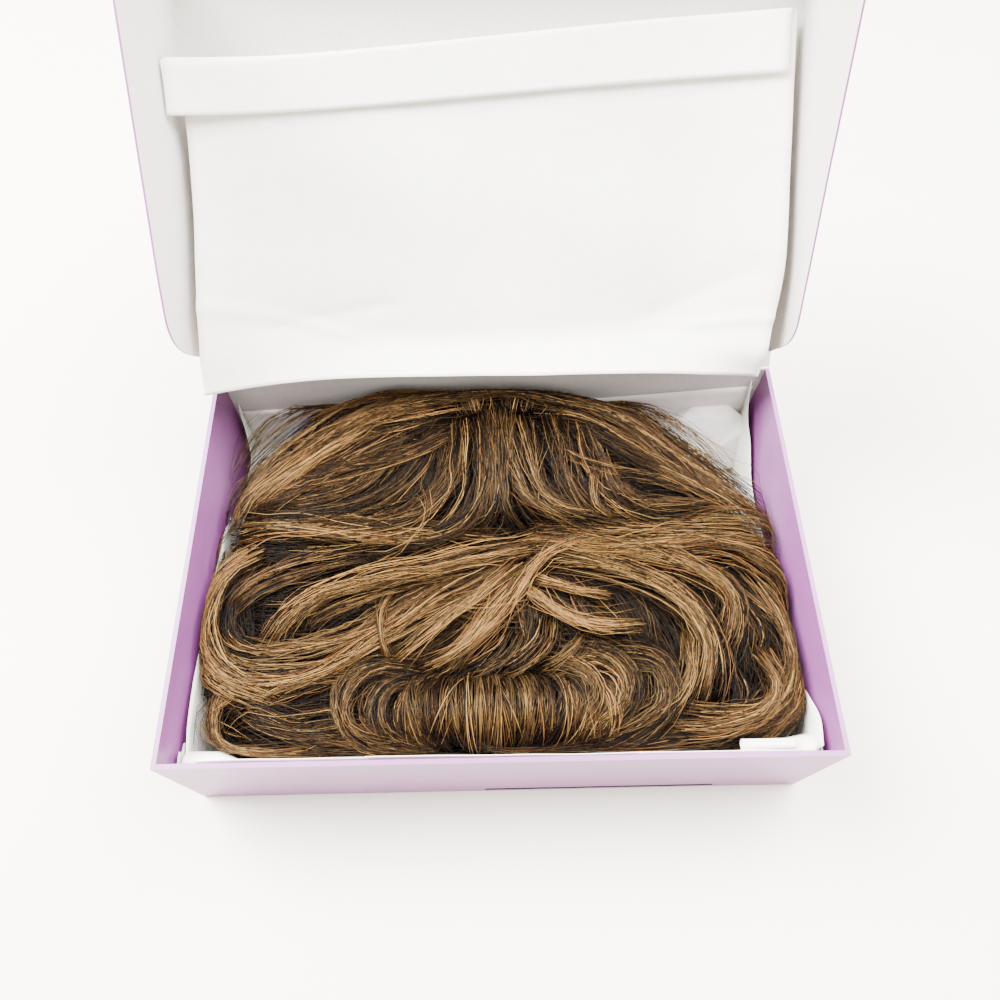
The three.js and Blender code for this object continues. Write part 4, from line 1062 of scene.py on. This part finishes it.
def below_surface(settings, depth):
    return lambda x, y, across, along: hair_height(across, along, settings.crown_height) - depth


# How many triangles the fibres of a piece may have
CROWN_TRIANGLES = 116000
FRINGE_TRIANGLES = 170000
SIDE_TRIANGLES = 176000
CURL_TRIANGLES = 43000
WISP_TRIANGLES = 20000
# How much thinner single loose hairs are than those in the locks
WISP_WIDTH = 0.6
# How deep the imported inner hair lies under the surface
CROWN_GROUND_DEPTH = 5.5 * MM
SIDE_GROUND_DEPTH = 6.5 * MM


def join_objects(first, *others):
    """Joins meshes into the first object."""
    bpy.ops.object.select_all(action="DESELECT")
    for other in (first, *others):
        other.select_set(True)
    bpy.context.view_layer.objects.active = first
    bpy.ops.object.join()
    return first


def dress(piece, node):
    """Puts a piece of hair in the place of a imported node."""
    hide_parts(node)
    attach(piece, "box")


class HAIR_OT_crown(bpy.types.Operator):
    """Combs the crown hair back over the cap and down to its sides"""

    bl_idname = "wig.crown"
    bl_label = "Crown hair"

    def execute(self, context):
        settings = context.scene.wig_hair
        bundles = comb(CROWN_LOCKS, settings, 11, CROWN_TRIANGLES)
        piece = tubes("crown_fibres", bundles, settings, 12)
        inner = core("crown_ground", (0.565, 0.972), (0, 1), over_cap,
                     below_surface(settings, CROWN_GROUND_DEPTH), settings)
        dress(join_objects(piece, inner), "crown_hair")
        return {"FINISHED"}


class HAIR_OT_fringe(bpy.types.Operator):
    """Combs the fringe and the face-framing layers forward from the parting"""

    bl_idname = "wig.fringe"
    bl_label = "Fringe"

    def execute(self, context):
        settings = context.scene.wig_hair
        bundles = comb(FRINGE_LOCKS, settings, 23, FRINGE_TRIANGLES)
        dress(tubes("fringe_fibres", bundles, settings, 24), "fringe_hair")
        return {"FINISHED"}


class HAIR_OT_sides(bpy.types.Operator):
    """Lays the long side layers in front of the cap, left and right"""

    bl_idname = "wig.sides"
    bl_label = "Side layers"

    def execute(self, context):
        settings = context.scene.wig_hair
        sides = [("left", LEFT_LOCKS, 31, (0, 0.5)), ("right", RIGHT_LOCKS, 47, (0.5, 1))]
        for side, locks, seed, share in sides:
            bundles = comb(locks, settings, seed, SIDE_TRIANGLES)
            piece = tubes(f"{side}_side_fibres", bundles, settings, seed + 1)
            inner = core(f"{side}_ground", (0.03, 0.57), share, over_cap,
                         below_surface(settings, SIDE_GROUND_DEPTH), settings)
            dress(join_objects(piece, inner), f"{side}_side_hair")
        return {"FINISHED"}


class HAIR_OT_curls(bpy.types.Operator):
    """Rolls the barrel curl at the front and the C-shaped curls beside it"""

    bl_idname = "wig.curls"
    bl_label = "Front curls"

    def execute(self, context):
        settings = context.scene.wig_hair
        random = np.random.RandomState(59)
        outer = barrel_fibres(settings, random, int(OUTER_FIBRES * settings.fullness), 14)
        inner = barrel_fibres(
            settings, random, int(INNER_FIBRES * settings.fullness), 10, INNER_SINK, INNER_SHADE)
        dress(tubes("front_roll_fibres", [outer, inner], settings, 60), "front_roll")
        curls = [("left", LEFT_CURL_LOCKS, 61), ("right", RIGHT_CURL_LOCKS, 67)]
        for side, locks, seed in curls:
            bundles = comb(locks, settings, seed, CURL_TRIANGLES)
            dress(tubes(f"{side}_curl_fibres", bundles, settings, seed + 1), f"{side}_front_curl")
        return {"FINISHED"}


class HAIR_OT_lower(bpy.types.Operator):
    """Packs the lower layers under the cap and in front of it"""

    bl_idname = "wig.lower"
    bl_label = "Lower layers"

    def execute(self, context):
        settings = context.scene.wig_hair
        # Piece, node, seed, where it lies from front to back, the end that hangs over, fibres
        layers = [
            ("nape_layer", "nape_hair", 71, (0.36, 0.972), 0.972, 400),
            ("front_layer", "front_under_hair", 73, (0.032, 0.358), 0.032, 340),
        ]
        for name, node, seed, along, end, count in layers:
            count = int(count * settings.fullness)
            bundles = [skirt(settings, seed, along, count), end_rows(settings, seed + 1, end, count // 2)]
            piece = tubes(name, bundles, settings, seed + 2)
            inner = core(f"{name}_ground", along, (0, 1), hair_floor, under_cap, settings)
            dress(join_objects(piece, inner), node)
        return {"FINISHED"}


class HAIR_OT_wisps(bpy.types.Operator):
    """Adds loose single hairs round the outline and over the locks"""

    bl_idname = "wig.wisps"
    bl_label = "Loose wisps"

    def execute(self, context):
        settings = context.scene.wig_hair
        bundles = comb(WISPS, settings, 83, WISP_TRIANGLES, under_share=0.0)
        thin = [bundle._replace(widths=bundle.widths * WISP_WIDTH) for bundle in bundles]
        piece = tubes("loose_wisps", thin, settings, 84)
        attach(piece, "box")
        return {"FINISHED"}


class HAIR_OT_cap(bpy.types.Operator):
    """Gives the stretch cap its net"""

    bl_idname = "wig.cap"
    bl_label = "Cap"

    def execute(self, context):
        cap = frame["nodes"]["wig_cap"]
        cap.data.materials.clear()
        cap.data.materials.append(material_of(stretch_net, context.scene.wig_hair))
        return {"FINISHED"}


# The box

# How the tray's faces are told apart: the height under which one facing up is its floor, and a block round
# the slot in its front wall, with how far it lies behind the front
FLOOR_TOP = 5 * MM
SLOT_HALF_LENGTH = 0.45 * BOX_WIDTH
SLOT_LOW, SLOT_HIGH = 2 * MM, 9 * MM
SLOT_NEAR, SLOT_FAR = 0.2 * MM, 1.8 * MM


def board_copy(node, name, materials):
    """A CAD node's form as a new object in board."""
    made = bpy.data.objects.new(name, frame["nodes"][node].data.copy())
    bpy.context.scene.collection.objects.link(made)
    made.data.name = name
    made.data.materials.clear()
    for material in materials:
        made.data.materials.append(material)
    return made


def tray_board_side(face):
    """What a face of the tray shows: 0 the print, 1 the bare inside, 2 the core in the slot, in painted
    shade.
    """
    centre, normal = face.center, face.normal
    in_front_wall = SLOT_NEAR < centre.y - TRAY_LOW[1] < SLOT_FAR
    if in_front_wall and SLOT_LOW < centre.z < SLOT_HIGH and abs(centre.x) < SLOT_HALF_LENGTH:
        return 2
    inside_floor = normal.z > 0.9 and centre.z < FLOOR_TOP
    inside_back = normal.y < -0.9 and centre.y > 0
    return 1 if inside_floor or inside_back else 0


class BOX_OT_tray(bpy.types.Operator):
    """Folds the tray: lilac outside and over the rolled walls, white on the floor and the back"""

    bl_idname = "wig.tray"
    bl_label = "Tray"

    def execute(self, context):
        settings = context.scene.wig_board
        lilac = material_of(printed_boxboard, settings)
        white = material_of(bare_boxboard, settings)
        # Faces in the slot get the board core coloured with painted shade
        tray = board_copy("tray", "tray_board", [lilac, white, material_of(painted_slot_shade, settings)])
        for face in tray.data.polygons:
            face.material_index = tray_board_side(face)
            face.use_smooth = False
        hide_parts("tray")
        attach(tray, "box")
        for side in ("left", "right"):
            node = f"{side}_corner_tab"
            tab = board_copy(node, f"{side}_tab_board", [white])
            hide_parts(node)
            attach(tab, "box")
        return {"FINISHED"}


def lid_grid(x, t, q):
    """Places over the lid: x across, t from the hinge outwards and q off its inside."""
    x, t, q = np.broadcast_arrays(x, t, q)
    return np.stack([
        x,
        HINGE.y + t * LID_ALONG.y + q * LID_INWARD.y,
        HINGE.z + t * LID_ALONG.z + q * LID_INWARD.z,
    ], axis=-1)


# How far the lid's ears stand off it, at places from the hinge to the front
EAR_DEPTHS = {
    "left": [(0.055, 0.004), (0.075, 0.030), (0.10, 0.052), (0.14, 0.069), (0.19, 0.076), (0.30, 0.0775),
             (0.88, 0.0775), (0.93, 0.070), (0.955, 0.050), (0.97, 0.020)],
    "right": [(0.055, 0.004), (0.07, 0.020), (0.095, 0.036), (0.14, 0.046), (0.30, 0.053), (0.50, 0.061),
              (0.70, 0.070), (0.86, 0.0770), (0.93, 0.069), (0.955, 0.050), (0.97, 0.020)],
}
# The panel starts that far from the hinge, and the lip stays that far from the ears
HINGE_GAP = 0.6 * MM
LIP_SIDE_GAP = 3 * MM


def lid_ear(side, sign, out, thick):
    """One of the lid's ears, from the panel to its rounded edge."""
    rows = np.array(EAR_DEPTHS[side])
    along = np.linspace(rows[0, 0], rows[-1, 0], 70)
    depth = soften(np.interp(along, rows[:, 0], rows[:, 1]), 7)
    q = out + (depth[:, None] - out) * np.linspace(0, 1, 12)[None, :]
    grid = lid_grid(sign * (EAR_SIDE + thick / 2) + 0 * q, along[:, None] * LID_LENGTH, q)
    return closed_sheet(grid[:, ::-1] if sign < 0 else grid, thick)


class BOX_OT_lid(bpy.types.Operator):
    """Folds the lid: a panel with two ears and a front lip, white inside and lilac outside"""

    bl_idname = "wig.lid"
    bl_label = "Lid"

    def execute(self, context):
        settings = context.scene.wig_board
        thick = settings.thickness
        half = BOX_WIDTH / 2
        out = -LID_GAP - thick / 2
        t = np.linspace(HINGE_GAP, LID_LENGTH, 20)[:, None]
        x = np.linspace(-half, half, 15)[None, :]
        lip_x = np.linspace(-1, 1, 30)[None, :] * (EAR_SIDE - LIP_SIDE_GAP)
        lip_q = np.linspace(out, LIP_DEPTH, 10)[:, None]
        parts = [
            closed_sheet(lid_grid(x, t, out + 0 * x * t), thick),
            lid_ear("left", -1, out, thick),
            lid_ear("right", 1, out, thick),
            closed_sheet(lid_grid(lip_x, LID_LENGTH - thick / 2 + 0 * lip_q, lip_q), thick),
        ]
        points, faces, kinds = join_parts(parts)
        white = material_of(bare_boxboard, settings)
        lilac = material_of(printed_boxboard, settings)
        lid = mesh_object("lid_board", points, faces, [white, lilac], smooth=False, kinds=kinds)
        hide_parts("lid")
        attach(lid, "lid")
        return {"FINISHED"}


def crease(x, t, start, stop, height, width):
    """A soft ridge along a line between two places on a sheet."""
    sx, st = start
    dx, dt = stop[0] - sx, stop[1] - st
    length = math.hypot(dx, dt)
    along = ((x - sx) * dx + (t - st) * dt) / length
    away = ((x - sx) * dt - (t - st) * dx) / length
    ends = smoothstep(-0.15 * length, 0.1 * length, along) * (
        1 - smoothstep(0.9 * length, 1.15 * length, along))
    return height * np.exp(-np.abs(away) / width) * ends


def spread(grid):
    """The longest runs of a sheet along its rows and its columns: the size it has when flat."""
    across = np.linalg.norm(np.diff(grid, axis=1), axis=2).sum(axis=1).max()
    along = np.linalg.norm(np.diff(grid, axis=0), axis=2).sum(axis=0).max()
    return across, along


def profile(places, values):
    """A smooth function through values at places, in metres."""
    fine = np.linspace(places[0], places[-1], 121)
    soft = soften(np.interp(fine, places, values), 13)
    return lambda x: np.interp(x, fine, soft)


# Across the lid's sheet: where it bends off the lid near the hinge, and how far it stands off there
BEND_PLACES = (-0.160, -0.120, -0.085, -0.040, 0.040, 0.121, 0.160)
BEND_LINE = (0.047, 0.034, 0.022, 0.020, 0.022, 0.029, 0.036)
BEND_LIFT = (0.016, 0.020, 0.018, 0.016, 0.016, 0.014, 0.012)
# How far the sheet's sides climb up the ears, at places from the hinge to the folded end
SIDE_PLACES = (0.0, 0.017, 0.044, 0.068, 0.090, 0.121, 0.150, 0.195)
LEFT_CLIMB = (0.034, 0.042, 0.045, 0.038, 0.030, 0.022, 0.020, 0.024)
RIGHT_CLIMB = (0.010, 0.028, 0.032, 0.031, 0.028, 0.021, 0.013, 0.003)
# Its length and the width of its double band on the left, in mm, and what both gain towards the right
LID_SHEET_LENGTH, LENGTH_GAIN = 160, 26
BAND_WIDTH, BAND_GAIN = 25, 4
# Its distance from the hinge and the radius of its fold
LID_SHEET_START = 1.5 * MM
FOLD_RADIUS = 1.3 * MM
# How far the double band stands off the sheet at its left end
BAND_RISE = 12 * MM
# The waves draw the sheet in to this share of its width
DRAWN_IN = 0.975
# Soft ridges and hollows near the hinge: from and to across and along the sheet, height and width in mm
LID_CREASES = [
    ((-0.130, 0.030), (-0.060, 0.040), -2.0, 7),
    ((0.150, 0.062), (0.095, 0.032), -1.8, 8),
    ((-0.158, 0.047), (-0.085, 0.022), 2.2, 3),
    ((0.158, 0.036), (0.118, 0.028), 1.8, 3),
]


class PAPER_OT_lid_sheet(bpy.types.Operator):
    """Lays the white sheet on the lid, its far end folded over to a double band"""

    bl_idname = "wig.lid_sheet"
    bl_label = "Sheet on the lid"

    def execute(self, context):
        settings = context.scene.wig_paper
        half = PAPER_SIDE - 0.6 * MM
        rows, columns = 90, 80
        x = np.linspace(-half, half, columns)[None, :]
        # The sheet lies askew: its folded end is nearer to the hinge on the left
        skew = smoothstep(-1.4 * half, 1.4 * half, x)
        length = (LID_SHEET_LENGTH + LENGTH_GAIN * skew) * MM
        band = (BAND_WIDTH + BAND_GAIN * skew) * MM
        run = np.linspace(0, 1, rows)[:, None] * (length + math.pi * FOLD_RADIUS + band)
        turn = np.clip((run - length) / FOLD_RADIUS, 0, math.pi)
        folded = np.maximum(run - length - math.pi * FOLD_RADIUS, 0)
        t = LID_SHEET_START + np.minimum(run, length) + FOLD_RADIUS * np.sin(turn) - folded
        double = FOLD_RADIUS * (1 - np.cos(turn))
        relief = ripples(5, 7, 6, 22)(x, t)
        q = 1.2 * MM + 0.8 * MM * (relief + 1.2) + double
        line = profile(BEND_PLACES, BEND_LINE)(x)
        lift = profile(BEND_PLACES, BEND_LIFT)(x)
        bent = np.clip(1 - t / line, -0.25, 1)
        q = q + lift * np.maximum(bent, 0) ** 1.15 + 0.8 * MM * np.exp(-(bent / 0.08) ** 2)
        # Both sides climb up the ears, and the double band stands off the sheet on the left
        climb = np.where(x < 0, profile(SIDE_PLACES, LEFT_CLIMB)(t), profile(SIDE_PLACES, RIGHT_CLIMB)(t))
        outer = np.clip((np.abs(x) / half - 0.5) / 0.5, 0, 1) ** 2.2
        q = q + climb * outer
        q = q + BAND_RISE * outer * (x < 0) * smoothstep(0, 6 * MM, run - length)
        for start, stop, height, width in LID_CREASES:
            q = q + crease(x, t, start, stop, height * MM, width * MM)
        shift = -4 * MM * smoothstep(0, 5 * MM, run - length)
        trim = 5 * MM * smoothstep(0, 1, x / half) * (1 - smoothstep(0, 70 * MM, t))
        grid = lid_grid(x * DRAWN_IN + shift - trim, t, q)
        points, faces, _ = closed_sheet(grid, settings.thickness)
        paper = material_of(wrapping_paper, settings)
        sheet = mesh_object("lid_sheet", points, faces, [paper])
        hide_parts("lid_paper")
        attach(sheet, "lid")
        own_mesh(sheet)
        return {"FINISHED"}


# Top edges of the liner against the side walls, from front to back, in metres
LINER_PLACES = (-0.106, -0.092, -0.063, -0.017, 0.031, 0.064, 0.092, 0.105, 0.111)
LEFT_TOP = (0.060, 0.0635, 0.062, 0.056, 0.046, 0.028, 0.022, 0.047, 0.062)
RIGHT_TOP = (0.073, 0.0735, 0.050, 0.044, 0.037, 0.037, 0.055, 0.067, 0.079)
# How far the liner may wave away from the walls: least where the hair reaches them
LINER_ROOM = (3.0, 1.6, 0.3, 0.2, 0.2, 2.0, 3.0, 3.0, 3.0)
# The liner's upright pieces in mm, along the back wall, in front left and right of the way in to the cap,
# and over that way: left and right end, place from front to back, foot if not the floor, top, columns
LINER_UPRIGHTS = [
    (-159, 159, 111.0, None, (48, 56, 50, 60, 70), 60),
    (-150, -66, -107.0, None, (70, 72, 70), 24),
    (66, 150, -107.0, None, (70, 69, 66), 24),
    (-67, 67, -107.0, 46, (72, 71, 69, 70), 30),
]
# The ledges, where the paper is folded flat in the front corners, in mm: left and right end, back edge
LINER_LEDGES = [(-158.4, -126, (-99, -99.5, -106)), (117, 158.4, (-105, -99.5, -96))]
LEDGE_FRONT = -106.8 * MM
# Their height along the front, and how much they drop to their back edge
LEDGE_HEIGHT, LEDGE_DROP = 63.5, 9
# The roll of paper along the front's right end: its ends, its axis, its angle and its radius in mm
ROLL_LEFT, ROLL_RIGHT = 119, 146
ROLL_Y, ROLL_Z = -103.6 * MM, 66.6 * MM
ROLL_ANGLE = 2.4 * math.pi
ROLL_RADIUS, RADIUS_GAIN = 2.1, 0.25
# How high the paper stands up in front and at the back, which its flat size includes
UPSTAND = 68 * MM
# The crumpled paper in the back right corner: its ridges and hollows, and the facets between them
CRUMPLE_POINTS = [
    (96, 84, 3), (117, 103, 39), (126, 110.4, 48), (149, 110.4, 50), (158.4, 106, 44), (158.6, 97, 37),
    (148, 85, 9), (134, 104, 46), (148, 103, 43), (150, 97, 33), (127, 92, 24), (90, 106, 8),
    (100, 110.6, 20), (112, 95, 17), (141, 92, 22), (158.6, 88, 10),
]
CRUMPLE_FACETS = [
    (0, 13, 11), (13, 1, 11), (11, 1, 12), (12, 1, 2), (2, 1, 7), (2, 7, 3), (3, 7, 8), (3, 8, 4),
    (4, 8, 9), (4, 9, 5), (7, 1, 10), (7, 10, 9), (7, 9, 8), (1, 13, 10), (0, 10, 13), (0, 6, 10),
    (6, 14, 10), (10, 14, 9), (14, 5, 9), (6, 15, 14), (14, 15, 5),
]


def closed_patch(points, facets, thickness):
    """A sheet of loose triangles with two faces and an edge."""
    points, facets = np.array(points, float), np.array(facets)
    corners = points[facets]
    flat = np.cross(corners[:, 1] - corners[:, 0], corners[:, 2] - corners[:, 0])
    # All facets face up
    turned = flat[:, 2:] < 0
    flat = np.where(turned, -flat, flat)
    facets = np.where(turned, facets[:, ::-1], facets)
    normals = np.zeros_like(points)
    for corner in range(3):
        np.add.at(normals, facets[:, corner], flat)
    normals = unit(normals) * thickness / 2
    edges = np.concatenate([facets[:, [0, 1]], facets[:, [1, 2]], facets[:, [2, 0]]])
    known = {tuple(edge) for edge in edges.tolist()}
    open_edges = np.array([edge for edge in edges.tolist() if (edge[1], edge[0]) not in known])
    size = len(points)
    rim = np.stack([open_edges[:, 1], open_edges[:, 0], open_edges[:, 0] + size], axis=1)
    rim = np.concatenate([rim, np.stack([
        open_edges[:, 1], open_edges[:, 0] + size, open_edges[:, 1] + size], axis=1)])
    faces = np.concatenate([facets, facets[:, ::-1] + size, rim])
    return np.concatenate([points + normals, points - normals]), faces


def liner_floor(side, floor, wave):
    """The sheet on the floor and up both side walls."""
    y = np.linspace(LINER_PLACES[0], LINER_PLACES[-1], 84)[:, None]
    rise = np.linspace(1, 0, 10)[None, :]
    room = np.interp(y, LINER_PLACES, LINER_ROOM) * MM
    strips = []
    for sign, tops in ((-1, LEFT_TOP), (1, RIGHT_TOP)):
        top = profile(LINER_PLACES, tops)(y) + 0.6 * MM * wave(y, 0.3 + 0 * y)
        z = floor + (top - floor) * rise
        lean = room * rise * (0.5 + 0.5 * np.tanh(wave(y, z + sign * 0.4)))
        strips.append(np.stack([sign * (side - lean), y + 0 * z, z], axis=2))
    x = np.linspace(-side, side, 60)[None, 1:-1]
    across, along = to_shares(x, y)
    # It lies flat under the wig and waves a little where it is free
    free = np.maximum(smoothstep(1.02, 1.2, side_share(across, along)), smoothstep(0.96, 1.0, along))
    z = floor + 0.25 * MM + free * 1.2 * MM * (1 + wave(x, y))
    middle = np.stack(np.broadcast_arrays(x, y, z), axis=2)
    return np.concatenate([strips[0], middle, strips[1][:, ::-1]], axis=1)


def liner_upright(low, high, place, foot, tops, columns, wave):
    x = np.linspace(low, high, columns)[None, :] * MM
    top = profile(np.linspace(low, high, len(tops)) * MM, np.array(tops) * MM)(x)
    z = foot + (top - foot) * np.linspace(0, 1, 12)[:, None]
    inward = -np.sign(place) * 0.25 * MM * (1 + np.tanh(wave(x, z)))
    return np.stack(np.broadcast_arrays(x, place * MM + inward, z), axis=2)


def liner_ledge(low, high, backs, wave):
    x = np.linspace(low, high, 20)[None, :] * MM
    back = profile(np.linspace(low, high, 3) * MM, np.array(backs) * MM)(x)
    share = np.linspace(0, 1, 10)[:, None]
    y = LEDGE_FRONT + (back - LEDGE_FRONT) * share
    z = (LEDGE_HEIGHT - LEDGE_DROP * share ** 3) * MM + 0.4 * MM * wave(x, y) + 0 * x
    return np.stack(np.broadcast_arrays(x, y, z), axis=2)


def paper_roll():
    angle = np.linspace(0, ROLL_ANGLE, 22)[None, :]
    radius = (ROLL_RADIUS + RADIUS_GAIN * angle / math.pi) * MM
    x = np.linspace(ROLL_LEFT, ROLL_RIGHT, 16)[:, None] * MM
    y, z = ROLL_Y + radius * np.cos(angle), ROLL_Z + radius * np.sin(angle)
    return np.stack(np.broadcast_arrays(x, y, z), axis=2)


def liner_sheets():
    """The liner's grids: the floor with both sides first, then the uprights, the ledges and the roll."""
    # The sheet's middle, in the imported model's thicker paper
    side, floor = PAPER_SIDE - 0.3 * MM, HAIR_FLOOR - 0.7 * MM
    wave = ripples(17, 6, 8, 30)
    grids = [liner_floor(side, floor, wave)]
    for low, high, place, foot, tops, columns in LINER_UPRIGHTS:
        foot = floor if foot is None else foot * MM
        grids.append(liner_upright(low, high, place, foot, tops, columns, wave))
    for low, high, backs in LINER_LEDGES:
        grids.append(liner_ledge(low, high, backs, wave))
    return [*grids, paper_roll()]


class PAPER_OT_liner(bpy.types.Operator):
    """Lays the paper liner on the floor and up the walls, crumpled in the back right corner"""

    bl_idname = "wig.liner"
    bl_label = "Paper liner"

    def execute(self, context):
        settings = context.scene.wig_paper
        grids = liner_sheets()
        points, quads, _ = join_parts([closed_sheet(grid, settings.thickness) for grid in grids])
        patch, facets = closed_patch(
            np.array(CRUMPLE_POINTS) * MM, CRUMPLE_FACETS, settings.thickness)
        liner = mesh_object(
            "liner_sheet", np.concatenate([points, patch]), [quads, facets + len(points)],
            [material_of(wrapping_paper, settings)],
            smooth=np.repeat([True, False], [len(quads), len(facets)]))
        width, depth = spread(grids[0])
        depth = depth + 2 * UPSTAND
        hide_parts("paper_liner")
        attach(liner, "box")
        return {"FINISHED"}


class STAGE_OT_studio(bpy.types.Operator):
    """Sets the pale table, the soft light and the photograph's camera"""

    bl_idname = "wig.studio"
    bl_label = "Studio"

    def execute(self, context):
        settings = context.scene.wig_stage
        place_camera()
        table_top(settings)
        lights(settings)
        return {"FINISHED"}


def place_camera():
    data = bpy.data.cameras.new("photo_camera")
    data.lens = CAMERA_LENS
    data.sensor_width = CAMERA_SENSOR
    data.clip_start, data.clip_end = 0.01, 50
    camera = bpy.data.objects.new("photo_camera", data)
    bpy.context.scene.collection.objects.link(camera)
    down, right, roll = (math.radians(a) for a in (CAMERA_DOWN, CAMERA_RIGHT, CAMERA_ROLL))
    forward = Vector((math.sin(right) * math.cos(down), math.cos(right) * math.cos(down), -math.sin(down)))
    level = Vector((math.cos(right), -math.sin(right), 0))
    above = level.cross(forward)
    to_right = level * math.cos(roll) + above * math.sin(roll)
    to_top = above * math.cos(roll) - level * math.sin(roll)
    axes = Matrix((to_right, to_top, -forward)).transposed()
    camera.matrix_world = Matrix.Translation(CAMERA_AT) @ axes.to_4x4()
    bpy.context.scene.camera = camera


# The table lies a little under the box's underside, so that the two don't flicker
TABLE_LEVEL = -0.2 * MM
TABLE_RINGS = (0.6, 1.5, 3.5)


def table_top(settings):
    angles = np.linspace(0, 2 * math.pi, settings.segments, endpoint=False)
    points = [[0, 0, TABLE_LEVEL]]
    for radius in TABLE_RINGS:
        points += [[radius * math.cos(a), radius * math.sin(a), TABLE_LEVEL] for a in angles]
    count = settings.segments
    turn = np.arange(count)
    after = (turn + 1) % count
    fans = np.stack([0 * turn, turn + 1, after + 1], axis=1)
    quads = np.concatenate([
        np.stack([1 + k * count + turn, 1 + (k + 1) * count + turn,
                  1 + (k + 1) * count + after, 1 + k * count + after], axis=1)
        for k in range(len(TABLE_RINGS) - 1)])
    table = mesh_object("table_top", points, [fans, quads], [material_of(laminate_table, settings)])


# The room's warm white and its strength, and the lamps: place and size in metres, power in watts
ROOM_COLOUR = (1.0, 0.97, 0.91, 1)
ROOM_STRENGTH = 1.5
LAMPS = [
    ("window", (-0.9, 0.4, 1.3), 1.0, 225.0),
    ("ceiling", (0.75, 0.3, 1.5), 1.3, 170.0),
]
LIT_PLACE = Vector((0, 0, 0.05))


def lights(settings):
    world = bpy.data.worlds.new("soft_room")
    world.use_nodes = True
    set_inputs(world.node_tree.nodes["Background"], {
        "Color": ROOM_COLOUR, "Strength": ROOM_STRENGTH * settings.light})
    bpy.context.scene.world = world
    for name, place, size, power in LAMPS:
        data = bpy.data.lights.new(name, "AREA")
        data.energy = power * settings.light
        data.size = size
        lamp = bpy.data.objects.new(name, data)
        lamp.location = place
        lamp.rotation_mode = "QUATERNION"
        lamp.rotation_quaternion = (LIT_PLACE - Vector(place)).to_track_quat("-Z", "Y")
        bpy.context.scene.collection.objects.link(lamp)


class VIEW3D_PT_wig(bpy.types.Panel):
    """Lists the wig's pieces and settings"""

    bl_label = "Wig in its box"
    bl_space_type = "VIEW_3D"
    bl_region_type = "UI"
    bl_category = "Wig"

    def draw(self, context):
        for operator in OPERATORS:
            self.layout.operator(operator.bl_idname)
        for name in SETTINGS:
            group = getattr(context.scene, name)
            for key in group.__annotations__:
                self.layout.prop(group, key)


OPERATORS = [
    STAGE_OT_studio, BOX_OT_tray, BOX_OT_lid, PAPER_OT_lid_sheet, PAPER_OT_liner, HAIR_OT_cap,
    HAIR_OT_lower, HAIR_OT_crown, HAIR_OT_fringe, HAIR_OT_sides, HAIR_OT_curls, HAIR_OT_wisps,
]
SETTINGS = {
    "wig_hair": HairSettings, "wig_board": BoardSettings, "wig_paper": PaperSettings,
    "wig_stage": StageSettings,
}


def register():
    for group in SETTINGS.values():
        bpy.utils.register_class(group)
    for name, group in SETTINGS.items():
        setattr(bpy.types.Scene, name, PointerProperty(type=group))
    for operator in OPERATORS:
        bpy.utils.register_class(operator)
    bpy.utils.register_class(VIEW3D_PT_wig)


def unregister():
    bpy.utils.unregister_class(VIEW3D_PT_wig)
    for operator in reversed(OPERATORS):
        bpy.utils.unregister_class(operator)
    for name, group in SETTINGS.items():
        delattr(bpy.types.Scene, name)
        bpy.utils.unregister_class(group)


def main():
    register()
    for operator in OPERATORS:
        group, name = operator.bl_idname.split(".")
        getattr(getattr(bpy.ops, group), name)()


if __name__ == "__main__":
    main()
